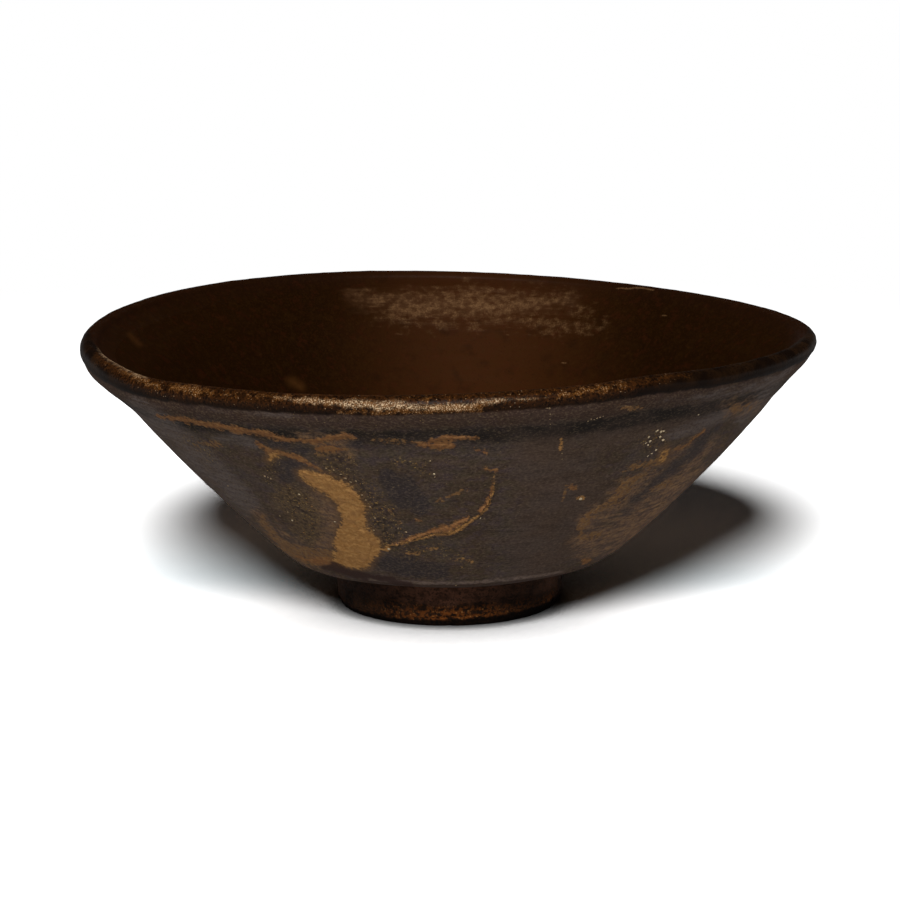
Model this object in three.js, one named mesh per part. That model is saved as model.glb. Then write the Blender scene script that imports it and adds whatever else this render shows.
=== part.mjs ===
// Conical tea bowl. A thrown stoneware cone stands on a turned foot, with an iron glaze inside,
// a treacle-brown roll of glaze over the lip, a darker glaze outside, a dark wash on the foot,
// and thin ochre crusts stuck to the outer glaze. The rim is slightly warped, as on the real bowl.
// Millimetres, +Z up. The origin is the middle of the foot on the surface that it stands on, and
// the front of the bowl faces -Y. Angles run from +X, counter-clockwise from above.

import * as THREE from 'three';

// Main sizes
const rimDiameter = 130;
const bowlHeight = 49.4;
const footDiameter = 40;
const footHeight = 7.4;
const wallThickness = 4.4;
const floorThickness = 4.2;

// Heel, where the turned underside meets the wall
const heelDiameter = 58;
const heelRise = 2.1;
const heelRounding = 1.6;

// Wall, and the shallow groove under the lip
const wallBulge = 0.9;
const grooveDrop = 10.65;
const grooveInset = 7.56;

// Lip, with a roll that is fuller on the left
const lipRadius = 1.82;
const shoulderDrop = 4.6;
const shoulderInset = 1.4;
const lipSwelling = 0.41;
const lipSwellingReach = 4.5;
const lipStartAngle = -45;
const lipEndAngle = 160;

// Well in the middle of the inside
const wellDiameter = 22;
const wellDish = 0.5;

// Glaze coats, with a gathered pool in the well and a thin worn edge above the foot
const outerGlazeThickness = 0.6;
const lipGlazeThickness = 0.75;
const innerGlazeThickness = 0.55;
const poolThickness = 1.2;
const glazeEdgeShare = 0.55;
const glazeLineSetback = 1.1;
const glazeLineWave = 0.35;
const glazeLineWaves = 5;

// Foot: a cut recess underneath, and an outer edge that is worn most on the right
const footFlare = 0.3;
const recessDiameter = 28.4;
const recessDepth = 3.7;
const recessTaper = 0.7;
const recessCone = 0.6;
const ringInnerBevel = 0.5;
const edgeWearLeft = 0.9;
const edgeWearRight = 2.1;
const edgeWearAngle = -20;
const washThickness = 0.25;
const washEdgeGap = 0.25;

// Warp of the rim and lean of the lower wall
const rimTilt = 0.7;
const rimTiltAngle = -76;
const rimSaddle = 1;
const rimSaddleAngle = -52.5;
const kinkDepth = 0.5;
const kinkAngle = -144;
const kinkSpread = 9;
const crownHeight = 0.45;
const crownAngle = -58;
const crownSpread = 8;
const heelShift = 1;
const heelLean = 0.79;

// Crusts: how high the crest and the edge stand, and the clearance to the glaze below
const crustCrest = 0.55;
const crustEdge = 0.12;
const crustClearance = 0.15;
const ridgeCrest = 0.8;

// Steps of the mesh
const roundSteps = 56;
const heelSteps = 2;
const wallSteps = 6;
const lipSteps = 6;
const flareSteps = 3;
const wellSteps = 4;
const crustStepsAcross = 4;
const crustStepsAlong = 12;

const rimRadius = rimDiameter / 2;
const footRadius = footDiameter / 2;
const footTopRadius = footRadius + footFlare;
const heel = new THREE.Vector2(heelDiameter / 2, footHeight + heelRise);
const groove = new THREE.Vector2(rimRadius - grooveInset, bowlHeight - grooveDrop);
const shoulder = new THREE.Vector2(rimRadius - shoulderInset, bowlHeight - shoulderDrop);
const footCorner = new THREE.Vector2(footTopRadius, footHeight);
const lipCentre = new THREE.Vector2(rimRadius - lipRadius, bowlHeight - lipRadius);
const floorHeight = footHeight + floorThickness;
const wallDirection = groove.clone().sub(heel).normalize();
const wallNormal = new THREE.Vector2(wallDirection.y, -wallDirection.x);
const riseShare = (shoulder.y - heel.y) / rimRadius;

const radians = THREE.MathUtils.degToRad;
const clamp = THREE.MathUtils.clamp;

// A point that lies some distance from one point towards another
function towards(from, to, distance) {
  return to.clone().sub(from).setLength(distance).add(from);
}

// A point on the bulging outer wall, as a share of the way from the heel to the groove
function wallPoint(share, depth = 0) {
  const bulge = 4 * wallBulge * share * (1 - share);
  return heel.clone().lerp(groove, share).addScaledVector(wallNormal, bulge - depth);
}

// Points of a curve that rounds a corner between two points
function roundedCorner(start, corner, end, steps) {
  return new THREE.QuadraticBezierCurve(start, corner, end).getPoints(steps);
}

// The glazed skin as one line: from the glaze edge above the foot, up the wall, over the lip and
// down the inside to the middle of the well
function skinOutline() {
  const heelStart = towards(heel, footCorner, heelRounding);
  const wallStartShare = heelRounding / heel.distanceTo(groove);
  const underside = [towards(footCorner, heel, glazeLineSetback)];
  underside.push(underside[0].clone().lerp(heelStart, 1 / 2));
  const heelCurve = roundedCorner(heelStart, heel, wallPoint(wallStartShare), heelSteps);

  const wall = [];
  for (let step = 1; step <= wallSteps; step += 1) {
    wall.push(wallPoint(wallStartShare + (1 - wallStartShare) * step / wallSteps));
  }
  wall.push(shoulder.clone());

  const lip = [];
  for (let step = 0; step <= lipSteps; step += 1) {
    const turn = radians(lipStartAngle + (lipEndAngle - lipStartAngle) * step / lipSteps);
    lip.push(new THREE.Vector2(Math.cos(turn), Math.sin(turn)).multiplyScalar(lipRadius).add(lipCentre));
  }

  const innerWall = [];
  const innerTop = wallPoint(1, wallThickness);
  for (let step = 1; step <= flareSteps; step += 1) {
    innerWall.push(lip[lipSteps].clone().lerp(innerTop, step / flareSteps));
  }
  const curveStartShare = 1 / 4;
  for (let step = 1; step < wallSteps; step += 1) {
    innerWall.push(wallPoint(1 - (1 - curveStartShare) * step / wallSteps, wallThickness));
  }

  // The inner wall runs on down to the level of the floor, and the corner there is rounded
  const curveStart = wallPoint(curveStartShare, wallThickness);
  const fall = (curveStart.y - floorHeight) / wallDirection.y;
  const corner = curveStart.clone().addScaledVector(wallDirection, -fall);
  const wellEdge = new THREE.Vector2(wellDiameter / 2, floorHeight);
  const well = roundedCorner(curveStart, corner, wellEdge, wellSteps);
  well.push(new THREE.Vector2(wellDiameter / 4, floorHeight - 3 * wellDish / 4));
  well.push(new THREE.Vector2(0, floorHeight - wellDish));

  const line = [...underside, ...heelCurve, ...wall, ...lip, ...innerWall, ...well];
  const lipStartIndex = underside.length + heelCurve.length + wall.length;
  const lipEndIndex = lipStartIndex + lipSteps;
  return { line, lipStartIndex, lipEndIndex, innerLipIndex: lipEndIndex + 1 };
}

// The clay surface under that skin, set back by the thickness of the coat at each point
function clayOutline({ line, lipStartIndex, innerLipIndex }) {
  const last = line.length - 1;
  return line.map((point, index) => {
    const before = line[Math.max(index - 1, 0)];
    const after = line[Math.min(index + 1, last)];
    const along = after.clone().sub(before).normalize();
    let coat = innerGlazeThickness;
    if (index === 0) coat = outerGlazeThickness * glazeEdgeShare;
    else if (index < lipStartIndex) coat = outerGlazeThickness;
    else if (index <= innerLipIndex) coat = lipGlazeThickness;
    else if (point.x < wellDiameter / 2) coat = poolThickness;
    if (index === last) return new THREE.Vector2(0, point.y - coat);
    return new THREE.Vector2(point.x - along.y * coat, point.y + along.x * coat);
  });
}

const skin = skinOutline();
const clay = clayOutline(skin);
const lastIndex = skin.line.length - 1;

// How near one angle is to another in degrees, from 1 at that angle down to 0 away from it
function nearness(angle, middle, spread) {
  const turns = (angle - radians(middle)) / (2 * Math.PI);
  const apart = 360 * (turns - Math.round(turns)) / spread;
  return Math.exp(-apart * apart);
}

// Rise of the rim at an angle, for a point at a share of the wall's height
function rimRise(angle, heightShare) {
  const tilt = rimTilt * Math.cos(angle - radians(rimTiltAngle));
  const saddle = rimSaddle * Math.cos(2 * (angle - radians(rimSaddleAngle)));
  const kink = -kinkDepth * nearness(angle, kinkAngle, kinkSpread);
  const crown = crownHeight * nearness(angle, crownAngle, crownSpread);
  return (tilt + saddle + kink + crown) * heightShare;
}

// Where a point of the section goes in the warped bowl. The foot stays true.
function place(point, angle) {
  const heightShare = clamp((point.y - heel.y) / (bowlHeight - heel.y), 0, 1);
  const ramp = clamp((point.x - footTopRadius) / (heel.x - footTopRadius), 0, 1);
  const lowerShare = ramp * (1 - heightShare);
  const x = point.x * Math.cos(angle) + heelShift * lowerShare;
  const y = point.x * Math.sin(angle);
  const z = point.y + rimRise(angle, heightShare) + heelLean * Math.cos(angle) * lowerShare;
  return new THREE.Vector3(x, y, z);
}

// The outside swells under the lip on the left, and draws in on the right
function swollen(point, angle) {
  const offset = (point.y - shoulder.y) / lipSwellingReach;
  const swelling = lipSwelling * Math.cos(angle) * Math.exp(-offset * offset);
  return new THREE.Vector2(point.x - swelling, point.y + swelling);
}

// A point of the skin or the clay at an angle. The glaze edge wanders along the underside.
function sectionPoint(points, index, angle) {
  const point = points[index];
  if (index === 0) {
    const wander = glazeLineWave * (1 + Math.cos(glazeLineWaves * angle));
    return towards(footCorner, heel, wander).sub(footCorner).add(point);
  }
  return index <= skin.lipEndIndex ? swollen(point, angle) : point;
}

function sectionStretch(points, first, last, angle) {
  const stretch = [];
  for (let index = first; index <= last; index += 1) {
    stretch.push(sectionPoint(points, index, angle));
  }
  return stretch;
}

// A closed body turned round the Z axis from a section that may change with the angle. The
// section either closes on itself or starts and ends on the axis. Neighbouring bodies that share
// a stretch of section split its facets the same way, so their faces meet exactly.
function turnedGeometry(sectionAt) {
  const sections = [];
  for (let step = 0; step < roundSteps; step += 1) {
    const angle = 2 * Math.PI * step / roundSteps;
    sections.push({ angle, points: sectionAt(angle) });
  }
  const count = sections[0].points.length;
  const onAxis = (index) => sections[0].points[index].x === 0;
  const closed = !onAxis(0);
  const positions = [];
  for (const { angle, points } of sections) {
    for (const point of points) positions.push(...place(point, angle).toArray());
  }
  const vertex = (step, index) => (onAxis(index) ? index : (step % roundSteps) * count + index);
  const triangles = [];
  const spans = closed ? count : count - 1;
  for (let step = 0; step < roundSteps; step += 1) {
    for (let index = 0; index < spans; index += 1) {
      const next = (index + 1) % count;
      const a = vertex(step, index);
      const b = vertex(step + 1, index);
      const c = vertex(step + 1, next);
      const d = vertex(step, next);
      const here = sections[0].points[index];
      const there = sections[0].points[next];
      if (onAxis(index)) triangles.push(a, c, d);
      else if (onAxis(next)) triangles.push(a, b, d);
      else if (here.x + here.y < there.x + there.y) triangles.push(a, b, c, a, c, d);
      else triangles.push(a, b, d, b, c, d);
    }
  }
  return meshGeometry(positions, triangles);
}

function meshGeometry(positions, triangles) {
  const geometry = new THREE.BufferGeometry();
  geometry.setAttribute('position', new THREE.Float32BufferAttribute(positions, 3));
  geometry.setIndex(triangles);
  geometry.computeVertexNormals();
  return geometry;
}

function surface(color, roughness) {
  return new THREE.MeshStandardMaterial({ color, roughness, metalness: 0 });
}

function addMesh(group, name, geometry, material) {
  const mesh = new THREE.Mesh(geometry, material);
  mesh.name = name;
  group.add(mesh);
}

// Clay body: the thrown cone, flat underneath where it sits on the foot
function clayBody() {
  return turnedGeometry((angle) => [
    new THREE.Vector2(0, footHeight),
    footCorner.clone(),
    ...sectionStretch(clay, 0, lastIndex, angle),
  ]);
}

// A coat of glaze between two points of the skin
function glazeCoat(first, last) {
  return turnedGeometry((angle) => [
    ...sectionStretch(skin.line, first, last, angle),
    ...sectionStretch(clay, first, last, angle).reverse(),
  ]);
}

// Height at which the worn outer edge of the foot ends
function edgeWear(angle) {
  const rightShare = (1 + Math.cos(angle - radians(edgeWearAngle))) / 2;
  return edgeWearLeft + (edgeWearRight - edgeWearLeft) * rightShare * rightShare;
}

// Outside of the foot's clay, from the end of the worn edge up to the cone
function footSide(angle, heightShare) {
  const bottom = edgeWear(angle) + washEdgeGap;
  const radius = footRadius - washThickness + footFlare * heightShare;
  return new THREE.Vector2(radius, bottom + (footHeight - bottom) * heightShare);
}

// Foot: a turned disc with a shallow recess, so that it stands on a ring
function footRing() {
  const recessRadius = recessDiameter / 2;
  return turnedGeometry((angle) => {
    const wear = edgeWear(angle);
    const side = footRadius - washThickness;
    return [
      new THREE.Vector2(0, recessDepth - recessCone),
      new THREE.Vector2(recessRadius - recessTaper, recessDepth),
      new THREE.Vector2(recessRadius, ringInnerBevel),
      new THREE.Vector2(recessRadius + ringInnerBevel, 0),
      new THREE.Vector2(side - wear / 2, 0),
      new THREE.Vector2(side, wear),
      footSide(angle, 0),
      footSide(angle, 1 / 2),
      footSide(angle, 1),
      new THREE.Vector2(0, footHeight),
    ];
  });
}

// Foot wash: a thin dark coat on the side of the foot
function footWash() {
  const coat = new THREE.Vector2(washThickness, 0);
  const shares = [0, 1 / 2, 1];
  return turnedGeometry((angle) => [
    ...shares.map((share) => footSide(angle, share).add(coat)),
    ...shares.map((share) => footSide(angle, share)).reverse(),
  ]);
}

// A point above the outer glaze. It is found from the front: a share of the rim's radius across,
// and a share of the way up from the heel to the shoulder.
function overOuterGlaze(across, up, lift) {
  const grooveShare = (groove.y - heel.y) / (shoulder.y - heel.y);
  const upShare = clamp(up, 0, 1);
  const point = upShare < grooveShare
    ? wallPoint(upShare / grooveShare, -lift)
    : groove.clone().lerp(shoulder, (upShare - grooveShare) / (1 - grooveShare))
      .addScaledVector(wallNormal, lift);
  const angle = -Math.acos(clamp(across * rimRadius / point.x, -1, 1));
  return place(swollen(point, angle), angle);
}

// A crust on the outer glaze, along a route of shares: across, up, and half width as a share of
// the rim's radius. It is thickest along its middle and thin at its sides.
function crust(routeShares, crest) {
  const last = routeShares.length - 1;
  const curveOf = (toPoint) => new THREE.CatmullRomCurve3(routeShares.map(toPoint));
  const route = curveOf(([across, up]) => new THREE.Vector3(across, up * riseShare, 0));
  const width = curveOf(([, , half], index) => new THREE.Vector3(index / last, half, 0));
  const rings = [];
  for (let step = 0; step <= crustStepsAlong; step += 1) {
    const middle = route.getPoint(step / crustStepsAlong);
    const heading = route.getTangent(step / crustStepsAlong);
    const half = width.getPoint(step / crustStepsAlong).y;
    const top = [];
    const bottom = [];
    for (let stepAcross = 0; stepAcross <= crustStepsAcross; stepAcross += 1) {
      const sideShare = 2 * stepAcross / crustStepsAcross - 1;
      const across = middle.x - heading.y * half * sideShare;
      const up = (middle.y + heading.x * half * sideShare) / riseShare;
      const height = crustEdge + (crest - crustEdge) * (1 - sideShare * sideShare);
      top.push(overOuterGlaze(across, up, crustClearance + height));
      bottom.push(overOuterGlaze(across, up, crustClearance));
    }
    rings.push([...top, ...bottom.reverse()]);
  }
  return tubeGeometry(rings);
}

// A closed body through rings of points, with flat ends
function tubeGeometry(rings) {
  const count = rings[0].length;
  const positions = rings.flat().flatMap((point) => point.toArray());
  const triangles = [];
  for (let ring = 0; ring < rings.length - 1; ring += 1) {
    for (let index = 0; index < count; index += 1) {
      const next = (index + 1) % count;
      const a = ring * count + index;
      const b = ring * count + next;
      triangles.push(a, b + count, b, a, a + count, b + count);
    }
  }
  const end = (rings.length - 1) * count;
  for (let index = 0; index < count / 2 - 1; index += 1) {
    const facing = count - 1 - index;
    triangles.push(index, facing - 1, facing, index, index + 1, facing - 1);
    triangles.push(end + index, end + facing, end + facing - 1);
    triangles.push(end + index, end + facing - 1, end + index + 1);
  }
  return meshGeometry(positions, triangles);
}

// Routes of the crusts: shares across, up and of half width
const crescentRouteShares = [
  [-0.38, 0.68, 0.01],
  [-0.31, 0.62, 0.026],
  [-0.26, 0.51, 0.036],
  [-0.25, 0.34, 0.04],
  [-0.27, 0.2, 0.055],
  [-0.34, 0.11, 0.04],
];
const ridgeRouteShares = [
  [-0.165, 0.23, 0.007],
  [-0.08, 0.31, 0.012],
  [0.02, 0.4, 0.014],
  [0.09, 0.51, 0.014],
  [0.115, 0.64, 0.01],
  [0.117, 0.74, 0.006],
];
const streakRouteShares = [
  [-0.75, 0.9, 0.01],
  [-0.6, 0.91, 0.012],
  [-0.48, 0.9, 0.014],
  [-0.38, 0.86, 0.036],
  [-0.31, 0.9, 0.026],
  [-0.25, 0.93, 0.01],
];
const islandRouteShares = [
  [-0.1, 0.88, 0.012],
  [-0.03, 0.9, 0.024],
  [0.05, 0.94, 0.008],
];
const scatterRouteShares = [
  [0.64, 0.78, 0.012],
  [0.52, 0.68, 0.022],
  [0.43, 0.48, 0.028],
  [0.42, 0.34, 0.055],
  [0.4, 0.22, 0.055],
  [0.35, 0.12, 0.025],
];

const stoneware = surface(0x5a3d26, 0.85);
const footClay = surface(0x4a2f1c, 0.85);
const outerGlaze = surface(0x2b2320, 0.5);
const lipGlaze = surface(0x3a2010, 0.25);
const innerGlaze = surface(0x35200f, 0.4);
const darkWash = surface(0x2a1a10, 0.6);
const ochre = surface(0x8a6a3c, 0.9);

const bowl = new THREE.Group();
addMesh(bowl, 'clay_body', clayBody(), stoneware);
addMesh(bowl, 'foot_ring', footRing(), footClay);
addMesh(bowl, 'foot_wash', footWash(), darkWash);
addMesh(bowl, 'outer_glaze', glazeCoat(0, skin.lipStartIndex), outerGlaze);
addMesh(bowl, 'lip_glaze', glazeCoat(skin.lipStartIndex, skin.innerLipIndex), lipGlaze);
addMesh(bowl, 'inner_glaze', glazeCoat(skin.innerLipIndex, lastIndex), innerGlaze);
addMesh(bowl, 'crescent_crust', crust(crescentRouteShares, crustCrest), ochre);
addMesh(bowl, 'ridge_crust', crust(ridgeRouteShares, ridgeCrest), ochre);
addMesh(bowl, 'streak_crust', crust(streakRouteShares, crustCrest), ochre);
addMesh(bowl, 'island_crust', crust(islandRouteShares, crustCrest), ochre);
addMesh(bowl, 'scatter_crust', crust(scatterRouteShares, crustCrest), ochre);

export default bowl;
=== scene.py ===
import itertools
import math
from types import SimpleNamespace

import bpy
import numpy as np
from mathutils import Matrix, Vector


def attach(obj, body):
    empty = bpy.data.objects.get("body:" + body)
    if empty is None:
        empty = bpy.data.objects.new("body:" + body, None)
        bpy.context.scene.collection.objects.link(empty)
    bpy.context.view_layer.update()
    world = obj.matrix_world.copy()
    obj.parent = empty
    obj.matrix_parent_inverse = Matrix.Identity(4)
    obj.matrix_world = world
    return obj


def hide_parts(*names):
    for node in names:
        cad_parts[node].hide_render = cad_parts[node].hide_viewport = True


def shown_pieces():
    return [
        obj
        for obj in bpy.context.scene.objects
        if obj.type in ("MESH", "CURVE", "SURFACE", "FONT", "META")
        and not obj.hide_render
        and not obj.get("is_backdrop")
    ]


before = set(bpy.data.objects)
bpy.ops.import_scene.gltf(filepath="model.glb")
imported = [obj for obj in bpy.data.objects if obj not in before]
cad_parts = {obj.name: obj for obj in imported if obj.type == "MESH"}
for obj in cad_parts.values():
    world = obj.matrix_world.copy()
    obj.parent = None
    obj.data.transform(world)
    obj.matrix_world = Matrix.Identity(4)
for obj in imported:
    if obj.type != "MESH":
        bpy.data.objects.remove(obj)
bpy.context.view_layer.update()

# Main sizes, as in the part's source
RIM_RADIUS = 65.0
BOWL_HEIGHT = 49.4
FOOT_RADIUS = 20.0
FOOT_HEIGHT = 7.4
WALL_THICKNESS = 4.4
FLOOR_HEIGHT = 11.6
HEEL = np.array([29.0, 9.5])
HEEL_ROUNDING = 1.6
WALL_BULGE = 0.9
GROOVE = np.array([57.44, 38.75])
SHOULDER = np.array([63.6, 44.8])
LIP_RADIUS = 1.82
LIP_SWELLING = 0.41
LIP_SWELLING_REACH = 4.5
LIP_START_ANGLE = -45
LIP_END_ANGLE = 160
WELL_RADIUS = 11.0
WELL_DISH = 0.5
OUTER_COAT = 0.6
LIP_COAT = 0.75
INNER_COAT = 0.55
POOL_COAT = 1.2
EDGE_COAT = 0.33
GLAZE_LINE_SETBACK = 1.1
GLAZE_LINE_WAVE = 0.35
GLAZE_LINE_WAVES = 5
GLAZE_LINE_REACH = 3.0
FOOT_FLARE = 0.3
RECESS_RADIUS = 14.2
RECESS_DEPTH = 3.7
RECESS_TAPER = 0.7
RECESS_CONE = 0.6
RING_INNER_BEVEL = 0.5
EDGE_WEAR_LEFT = 0.9
EDGE_WEAR_RIGHT = 2.1
EDGE_WEAR_ANGLE = -20
WASH_THICKNESS = 0.25
WASH_EDGE_GAP = 0.25
RIM_TILT = 0.7
RIM_TILT_ANGLE = -76
RIM_SADDLE = 1.0
RIM_SADDLE_ANGLE = -52.5
KINK_DEPTH = 0.5
KINK_ANGLE = -144
KINK_SPREAD = 9
CROWN_HEIGHT = 0.45
CROWN_ANGLE = -58
CROWN_SPREAD = 8
HEEL_SHIFT = 1.0
HEEL_LEAN = 0.79

FOOT_TOP_RADIUS = FOOT_RADIUS + FOOT_FLARE
FOOT_CORNER = np.array([FOOT_TOP_RADIUS, FOOT_HEIGHT])
LIP_CENTRE = np.array([RIM_RADIUS - LIP_RADIUS, BOWL_HEIGHT - LIP_RADIUS])
WALL_LENGTH = np.hypot(*(GROOVE - HEEL))
WALL_DIRECTION = (GROOVE - HEEL) / WALL_LENGTH
WALL_NORMAL = np.array([WALL_DIRECTION[1], -WALL_DIRECTION[0]])
UNDERSIDE_DIRECTION = (HEEL - FOOT_CORNER) / np.hypot(*(HEEL - FOOT_CORNER))

# The photograph's camera
FRAME_PIXELS = 900
CENTRE_PIXEL = (449.5, 447.7)
FOCAL_PIXELS = 3927.0
VIEW_TILT = math.radians(12.18)
VIEW_DISTANCE = 699.0
AIM_HEIGHT = 27.75
SENSOR_WIDTH = 36.0
EYE = np.array([
    0.0,
    -VIEW_DISTANCE * math.cos(VIEW_TILT),
    AIM_HEIGHT + VIEW_DISTANCE * math.sin(VIEW_TILT),
])
MM = 0.001
TINY = 1e-9


def picture(points):
    """Where points show in the photograph's frame, in pixels across and down"""
    away = np.asarray(points) - EYE
    depth = away @ np.array([0, math.cos(VIEW_TILT), -math.sin(VIEW_TILT)])
    lift = away @ np.array([0, math.sin(VIEW_TILT), math.cos(VIEW_TILT)])
    across = CENTRE_PIXEL[0] + FOCAL_PIXELS * away[..., 0] / depth
    down = CENTRE_PIXEL[1] - FOCAL_PIXELS * lift / depth
    return np.stack([across, down], axis=-1)


def make_camera():
    """The camera stands where the photograph's stood"""
    data = bpy.data.cameras.new("camera")
    data.sensor_width = SENSOR_WIDTH
    data.lens = FOCAL_PIXELS / FRAME_PIXELS * SENSOR_WIDTH
    data.clip_start = 0.01
    data.clip_end = 50
    camera = bpy.data.objects.new("camera", data)
    bpy.context.scene.collection.objects.link(camera)
    pixel = VIEW_DISTANCE / FOCAL_PIXELS
    aside = (FRAME_PIXELS / 2 - CENTRE_PIXEL[0]) * pixel
    below = (FRAME_PIXELS / 2 - CENTRE_PIXEL[1]) * pixel / math.cos(VIEW_TILT)
    target = np.array([aside, 0, AIM_HEIGHT - below])
    camera.location = Vector(EYE * MM)
    camera.rotation_mode = "QUATERNION"
    camera.rotation_quaternion = Vector((target - EYE) * MM).to_track_quat("-Z", "Y")
    bpy.context.scene.camera = camera


make_camera()


# Smooth repeatable noise
CELL_PRIMES = (73856093, 19349663, 83492791)
SEED_PRIME = 2654435761
MIXING_FACTOR = 0x45D9F3B
LOW_BITS = 0xFFFFFFFF
HALF_RANGE = 0x7FFFFFFF


def random_at(cells, seed):
    """A fixed random number from -1 to 1 for each cell of whole numbers"""
    mixed = seed * SEED_PRIME
    for axis, prime in enumerate(CELL_PRIMES):
        mixed = mixed ^ cells[..., axis] * prime
    mixed = mixed & LOW_BITS
    for _ in range(2):
        mixed = (((mixed >> 16) ^ mixed) * MIXING_FACTOR) & LOW_BITS
    return ((mixed >> 16) ^ mixed) / HALF_RANGE - 1


def lumps(points, size, seed, octaves=1):
    """Noise from about -1 to 1 whose lumps have one size, with finer ones on them"""
    total = np.zeros(points.shape[:-1])
    weight = 1.0
    for octave in range(octaves):
        scaled = points * (2 ** octave / size)
        cells = np.floor(scaled).astype(np.int64)
        part = scaled - cells
        part = part * part * (3 - 2 * part)
        for corner in itertools.product((0, 1), repeat=3):
            share = np.prod(np.where(corner, part, 1 - part), axis=-1)
            total += weight * share * random_at(cells + np.array(corner), seed + octave)
        weight /= 2
    return total


def raised(points, mark, octaves=1):
    """Height of a mark given as (height, size, seed)"""
    height, size, seed = mark
    return height * lumps(points, size, seed, octaves)


def fade(values, low, high):
    """0 below one value and 1 above the other, smooth between"""
    share = np.clip((values - low) / (high - low), 0, 1)
    return share * share * (3 - 2 * share)


# Section of the glazed skin
def wall_points(shares, depth=0.0):
    bulge = 4 * WALL_BULGE * shares * (1 - shares) - depth
    return HEEL + np.outer(shares * WALL_LENGTH, WALL_DIRECTION) + np.outer(bulge, WALL_NORMAL)


def rounded_corner(start, corner, end, steps=40):
    share = np.linspace(0, 1, steps)[:, None]
    return (1 - share) ** 2 * start + 2 * share * (1 - share) * corner + share ** 2 * end


SKIN_STEP = 0.05
INNER_WALL_END = 0.25
INNER_EDGE_SHARE = 1 / 3
CORNER_EASING = 0.6
CORNER_STEPS = 30


def skin_section():
    """The skin as one line in even steps, from the glaze edge over the lip to the middle of the
    well, with the distances along it where the lip starts, where its roll ends and where the
    inner glaze starts"""
    heel_start = HEEL - UNDERSIDE_DIRECTION * HEEL_ROUNDING
    wall_start = HEEL_ROUNDING / WALL_LENGTH
    underside = [FOOT_CORNER + UNDERSIDE_DIRECTION * GLAZE_LINE_SETBACK]
    heel_curve = rounded_corner(heel_start, HEEL, wall_points(np.array([wall_start]))[0])
    wall = wall_points(np.linspace(wall_start, 1, 120)[1:])
    turns = np.radians(np.linspace(LIP_START_ANGLE, LIP_END_ANGLE, 90))
    lip = LIP_CENTRE + LIP_RADIUS * np.stack([np.cos(turns), np.sin(turns)], axis=-1)
    inner_top = wall_points(np.array([1.0]), WALL_THICKNESS)[0]
    inner_edge = lip[-1] + (inner_top - lip[-1]) * INNER_EDGE_SHARE
    inner_wall = wall_points(np.linspace(1, INNER_WALL_END, 100), WALL_THICKNESS)
    curve_start = inner_wall[-1]
    fall = (curve_start[1] - FLOOR_HEIGHT) / WALL_DIRECTION[1]
    well_edge = np.array([WELL_RADIUS, FLOOR_HEIGHT])
    well_curve = rounded_corner(curve_start, curve_start - fall * WALL_DIRECTION, well_edge)
    out = np.linspace(1, 0, 30)[1:]
    well = np.stack([WELL_RADIUS * out, FLOOR_HEIGHT - WELL_DISH * (1 - out ** 2)], axis=-1)
    groups = [underside, heel_curve, wall, [SHOULDER], lip, [inner_edge], inner_wall]
    groups += [well_curve[1:], well]
    line = np.concatenate([np.asarray(group) for group in groups])
    along = np.concatenate([[0], np.cumsum(np.hypot(*np.diff(line, axis=0).T))])
    lip_index = sum(len(group) for group in groups[:4])
    marks = along[[lip_index, lip_index + len(lip) - 1, lip_index + len(lip)]]
    even = np.arange(0, along[-1], SKIN_STEP)
    even[-1] = along[-1]
    points = np.stack([np.interp(even, along, line[:, axis]) for axis in (0, 1)], axis=-1)
    return even, softened(points, even, marks), marks


def averaged(line, weights):
    """A line of points eased by a running average"""
    columns = [np.convolve(column, weights / weights.sum(), "valid") for column in line.T]
    return np.stack(columns, axis=-1)


def softened(points, even, marks):
    """The line with its corners eased, but for the roll of the lip, which stays as it is"""
    mirrored = points[-2:-CORNER_STEPS - 2:-1] * np.array([-1, 1])
    before = 2 * points[0] - points[CORNER_STEPS:0:-1]
    steps = np.arange(-CORNER_STEPS, CORNER_STEPS + 1)
    weights = np.exp(-(steps * SKIN_STEP / CORNER_EASING) ** 2)
    eased = averaged(np.concatenate([before, points, mirrored]), weights)
    kept = fade(even, marks[0] - 0.4, marks[0] + 0.5) * (1 - fade(even, marks[1] - 0.6, marks[1] + 0.2))
    return eased + (points - eased) * kept[:, None]


SKIN_AT, SKIN, (LIP_START, LIP_END, INNER_START) = skin_section()
SKIN_END = SKIN_AT[-1]
SKIN_ALONG = np.gradient(SKIN, axis=0)
SKIN_ALONG /= np.hypot(*SKIN_ALONG.T)[:, None]


def nearness(angle, middle, spread):
    turns = (angle - math.radians(middle)) / (2 * math.pi)
    apart = 360 * (turns - np.round(turns)) / spread
    return np.exp(-apart * apart)


def warped(radius, height, angle):
    """Where a point of the section goes in the warped bowl. The foot stays true."""
    height_share = np.clip((height - HEEL[1]) / (BOWL_HEIGHT - HEEL[1]), 0, 1)
    ramp = np.clip((radius - FOOT_TOP_RADIUS) / (HEEL[0] - FOOT_TOP_RADIUS), 0, 1)
    lower_share = ramp * (1 - height_share)
    rise = RIM_TILT * np.cos(angle - math.radians(RIM_TILT_ANGLE))
    rise = rise + RIM_SADDLE * np.cos(2 * (angle - math.radians(RIM_SADDLE_ANGLE)))
    rise = rise - KINK_DEPTH * nearness(angle, KINK_ANGLE, KINK_SPREAD)
    rise = rise + CROWN_HEIGHT * nearness(angle, CROWN_ANGLE, CROWN_SPREAD)
    x = radius * np.cos(angle) + HEEL_SHIFT * lower_share
    y = radius * np.sin(angle)
    z = height + rise * height_share + HEEL_LEAN * np.cos(angle) * lower_share
    return np.stack(np.broadcast_arrays(x, y, z), axis=-1)


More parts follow.
